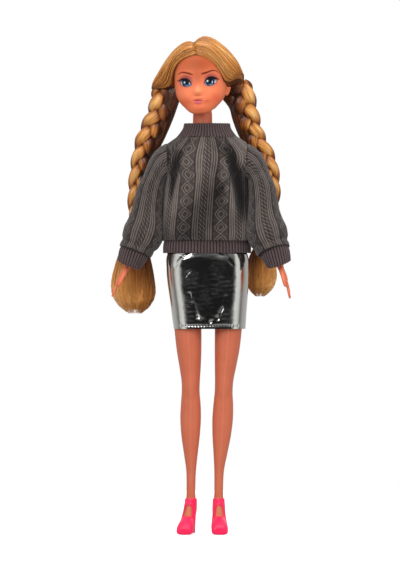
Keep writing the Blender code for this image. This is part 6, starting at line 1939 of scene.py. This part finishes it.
def addSkirt():
    lines, columns = 150, 420
    grid, share = skirtGrid(0.0, 1.0, lines, columns, 0.0)
    normal = normalsOf(grid)
    reach = (np.arange(columns) / columns)[None]
    around = np.where(reach < 0.5, reach, reach - 1) * 124
    z = grid[..., 2]
    calm = step(0.4, 2.2, np.abs(grid[..., 0] - 0.0))
    crinkle = waves(121, 16, 0.5, 1.6)(around * 0.8 + 0 * z, z * 2.2) * 0.016
    broad = waves(131, 7, 0.10, 0.25)(around, z * 1.4) * 0.10
    x = grid[..., 0]
    ahead = step(2, -4, grid[..., 1])
    for points, strength in skirt["creases"]:
        for start, end in zip(points, points[1:]):
            gap = nearStretch(x, z, start, end)[1]
            broad = broad - strength * np.exp(-((gap / 1.1) ** 2)) * ahead * (0.6 + 0.4 * np.sin(gap + x))
    puckers = -0.22 * hill(share, 0.962, 0.012)[:, None] * (0.7 + 0.3 * np.cos(around * 2 * math.pi / 1.9))
    grid = grid + normal * (
        (crinkle + broad) * calm * step(0, 0.1, share)[:, None] * step(1.01, 0.93, share)[:, None] + puckers
    )[..., None]
    tone = 0.5 * hill(share, 0.962, 0.014)[:, None] + 0 * around
    inner = np.array(
        [grid[n] - normal[n] * 0.45 for n in np.linspace(lines - 1, 0, 12).round().astype(int)]
    )
    full = np.concatenate([grid, inner])
    u = np.tile(around / 10, (len(full), 1))
    v = np.concatenate([z, inner[..., 2]]) / 10
    tones = np.concatenate([tone, np.zeros((12, columns))])
    half = columns // 2
    for side, word, chosen in (
        (left, "left", np.arange(0, half + 1)), (right, "right", np.arange(half, columns + 1) % columns)
    ):
        au = u[:, chosen].copy()
        if side == left:
            au[:, -1] = 6.2
        mesh = gridMesh(
            "skirt_" + word,
            full[:, chosen],
            closed=False,
            looped=True,
            values={"tone": tones[:, chosen]},
            uv=(au, v[:, chosen]),
            capped=True,
        )
        piece = showPiece("skirt_" + word, mesh, foil, None, ("skirt",), sharp=70)
        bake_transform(piece)
    yoke, _ = skirtGrid(0.0, 0.40, 30, 160, 1.5)
    inner = yoke[::-1] - normalsOf(yoke)[::-1] * 0.4
    mesh = gridMesh(
        "skirt_yoke",
        np.concatenate([yoke, inner]),
        looped=True,
        values={"tone": np.zeros((60, 160))},
        uv=(12.4, 5.0),
    )
    piece = showPiece("skirt_yoke", mesh, foil, "torso")


addSkirt()
print("skirt made")

# Carried-over CAD nodes get their finishes
finishes = {
    "torso_front": bodySkin,
    "torso_back": bodySkin,
    "neck_post": postPlastic,
    "shoulder_peg_left": postPlastic,
    "shoulder_peg_right": postPlastic,
    "hip_axle": axleSteel,
    "sweater_closure": hookTape,
    "skirt_waistband": foil,
}
for name, finish in finishes.items():
    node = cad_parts[name]
    for slot in node.material_slots:
        slot.material = finish
    if not node.material_slots:
        node.data.materials.append(finish)

# Floor, lights and camera


def addLamp(name, place, target, size, power):
    lamp = bpy.data.lights.new(name, "AREA")
    lamp.shape = "RECTANGLE"
    lamp.size, lamp.size_y = size
    lamp.energy = power
    item = bpy.data.objects.new(name, lamp)
    item.location = place
    item.rotation_euler = (Vector(target) - Vector(place)).to_track_quat("-Z", "Y").to_euler()
    bpy.context.scene.collection.objects.link(item)
    return item


def addStage():
    mesh = bpy.data.meshes.new("floor")
    mesh.from_pydata(
        [(-0.7, -0.9, -0.0003), (0.7, -0.9, -0.0003), (0.7, 0.5, -0.0003), (-0.7, 0.5, -0.0003)],
        [],
        [(0, 1, 2, 3)],
    )
    floor = loosePiece("floor", mesh)
    settings = {"Roughness": 0.9, "Base Color": linear("#f4f4f4")}
    settings.update({"Emission Color": (1, 1, 1, 1), "Emission Strength": 0.45})
    material = newMaterial("floor_paper", settings)[0]
    mesh.materials.append(material)
    floor.visible_glossy = floor.visible_diffuse = False
    world = bpy.data.worlds.new("studio")
    bpy.context.scene.world = world
    world.use_nodes = True
    tree = world.node_tree
    tree.nodes.clear()
    path = addNode(tree, "ShaderNodeLightPath")
    white = addNode(tree, "ShaderNodeBackground", None, {"Color": (1, 1, 1, 1), "Strength": 1.0})
    room = addNode(tree, "ShaderNodeBackground", None, {"Color": (1, 1, 1, 1), "Strength": 0.62})
    place = addNode(tree, "ShaderNodeTexCoord").outputs["Generated"]
    # What the foil mirrors: a dark room ahead, bright windows to the sides, and paler walls behind
    axes = addNode(tree, "ShaderNodeSeparateXYZ", None, {"Vector": place})
    spans = []
    for axis in ("X", "Z"):
        node = addNode(tree, "ShaderNodeMath", {"operation": "ABSOLUTE"}, {0: axes.outputs[axis]})
        spans.append(node.outputs[0])
    ahead = layered(tree, 0.0, ((axes.outputs["Y"], -1.0),))
    angle = addNode(tree, "ShaderNodeMath", {"operation": "ARCTAN2"}, {0: spans[0], 1: ahead}).outputs[0]
    stops = (
        (0.0, (0.010, 0.010, 0.011)),
        (0.19, (0.016, 0.016, 0.017)),
        (0.225, (0.30, 0.30, 0.29)),
        (0.245, (0.95, 0.95, 0.92)),
        (0.335, (0.80, 0.80, 0.77)),
        (0.40, (0.22, 0.20, 0.19)),
        (0.53, (0.50, 0.49, 0.47)),
        (1.0, (0.70, 0.70, 0.70)),
    )
    share = layered(tree, 0.0, ((angle, 1 / math.pi),))
    glow = addNode(tree, "ShaderNodeValToRGB", None, {"Fac": share}, stops).outputs["Color"]
    stops = ((0.09, (0, 0, 0)), (0.50, (0.46, 0.46, 0.45)))
    steep = addNode(tree, "ShaderNodeValToRGB", None, {"Fac": spans[1]}, stops).outputs["Color"]
    settings = {"data_type": "RGBA", "blend_type": "LIGHTEN"}
    glow = addNode(tree, "ShaderNodeMix", settings, {0: 1.0, 6: glow, 7: steep}).outputs[2]
    mirror = addNode(tree, "ShaderNodeBackground", None, {"Color": glow, "Strength": 0.9})
    inputs = {0: path.outputs["Is Glossy Ray"], 1: room.outputs[0], 2: mirror.outputs[0]}
    first = addNode(tree, "ShaderNodeMixShader", None, inputs)
    inputs = {0: path.outputs["Is Camera Ray"], 1: path.outputs["Is Transmission Ray"]}
    shown = addNode(tree, "ShaderNodeMath", {"operation": "MAXIMUM"}, inputs).outputs[0]
    inputs = {0: shown, 1: first.outputs[0], 2: white.outputs[0]}
    second = addNode(tree, "ShaderNodeMixShader", None, inputs)
    last = addNode(tree, "ShaderNodeOutputWorld")
    tree.links.new(second.outputs[0], last.inputs["Surface"])


def addCamera():
    camera = bpy.data.cameras.new("camera")
    item = bpy.data.objects.new("camera", camera)
    distance = photo["distance"] * mm
    item.location = (cameraX * mm, -distance, cameraZ * mm)
    item.rotation_euler = (math.pi / 2, 0, 0)
    camera.sensor_fit = "HORIZONTAL"
    camera.sensor_width = 36
    camera.lens = 36 * distance / (photo["width"] * photo["pixel"] * mm)
    bpy.context.scene.collection.objects.link(item)
    bpy.context.scene.camera = item


addStage()
addLamp("key", (-0.55, -1.15, 0.85), (0, 0, 0.17), (0.6, 0.8), 9.0)
fill = addLamp("fill", (0.75, -1.0, 0.45), (0, 0, 0.15), (0.6, 0.9), 5.4)
fill.visible_glossy = False
addLamp("top", (0.05, -0.1, 1.1), (0, 0, 0.2), (0.7, 0.7), 4.4)
addLamp("rim", (0.2, 1.1, 0.6), (0, 0, 0.18), (0.8, 0.6), 2.7)
addCamera()
scene = bpy.context.scene
scene.view_settings.view_transform = "Standard"
print("stage set")

writeSize()
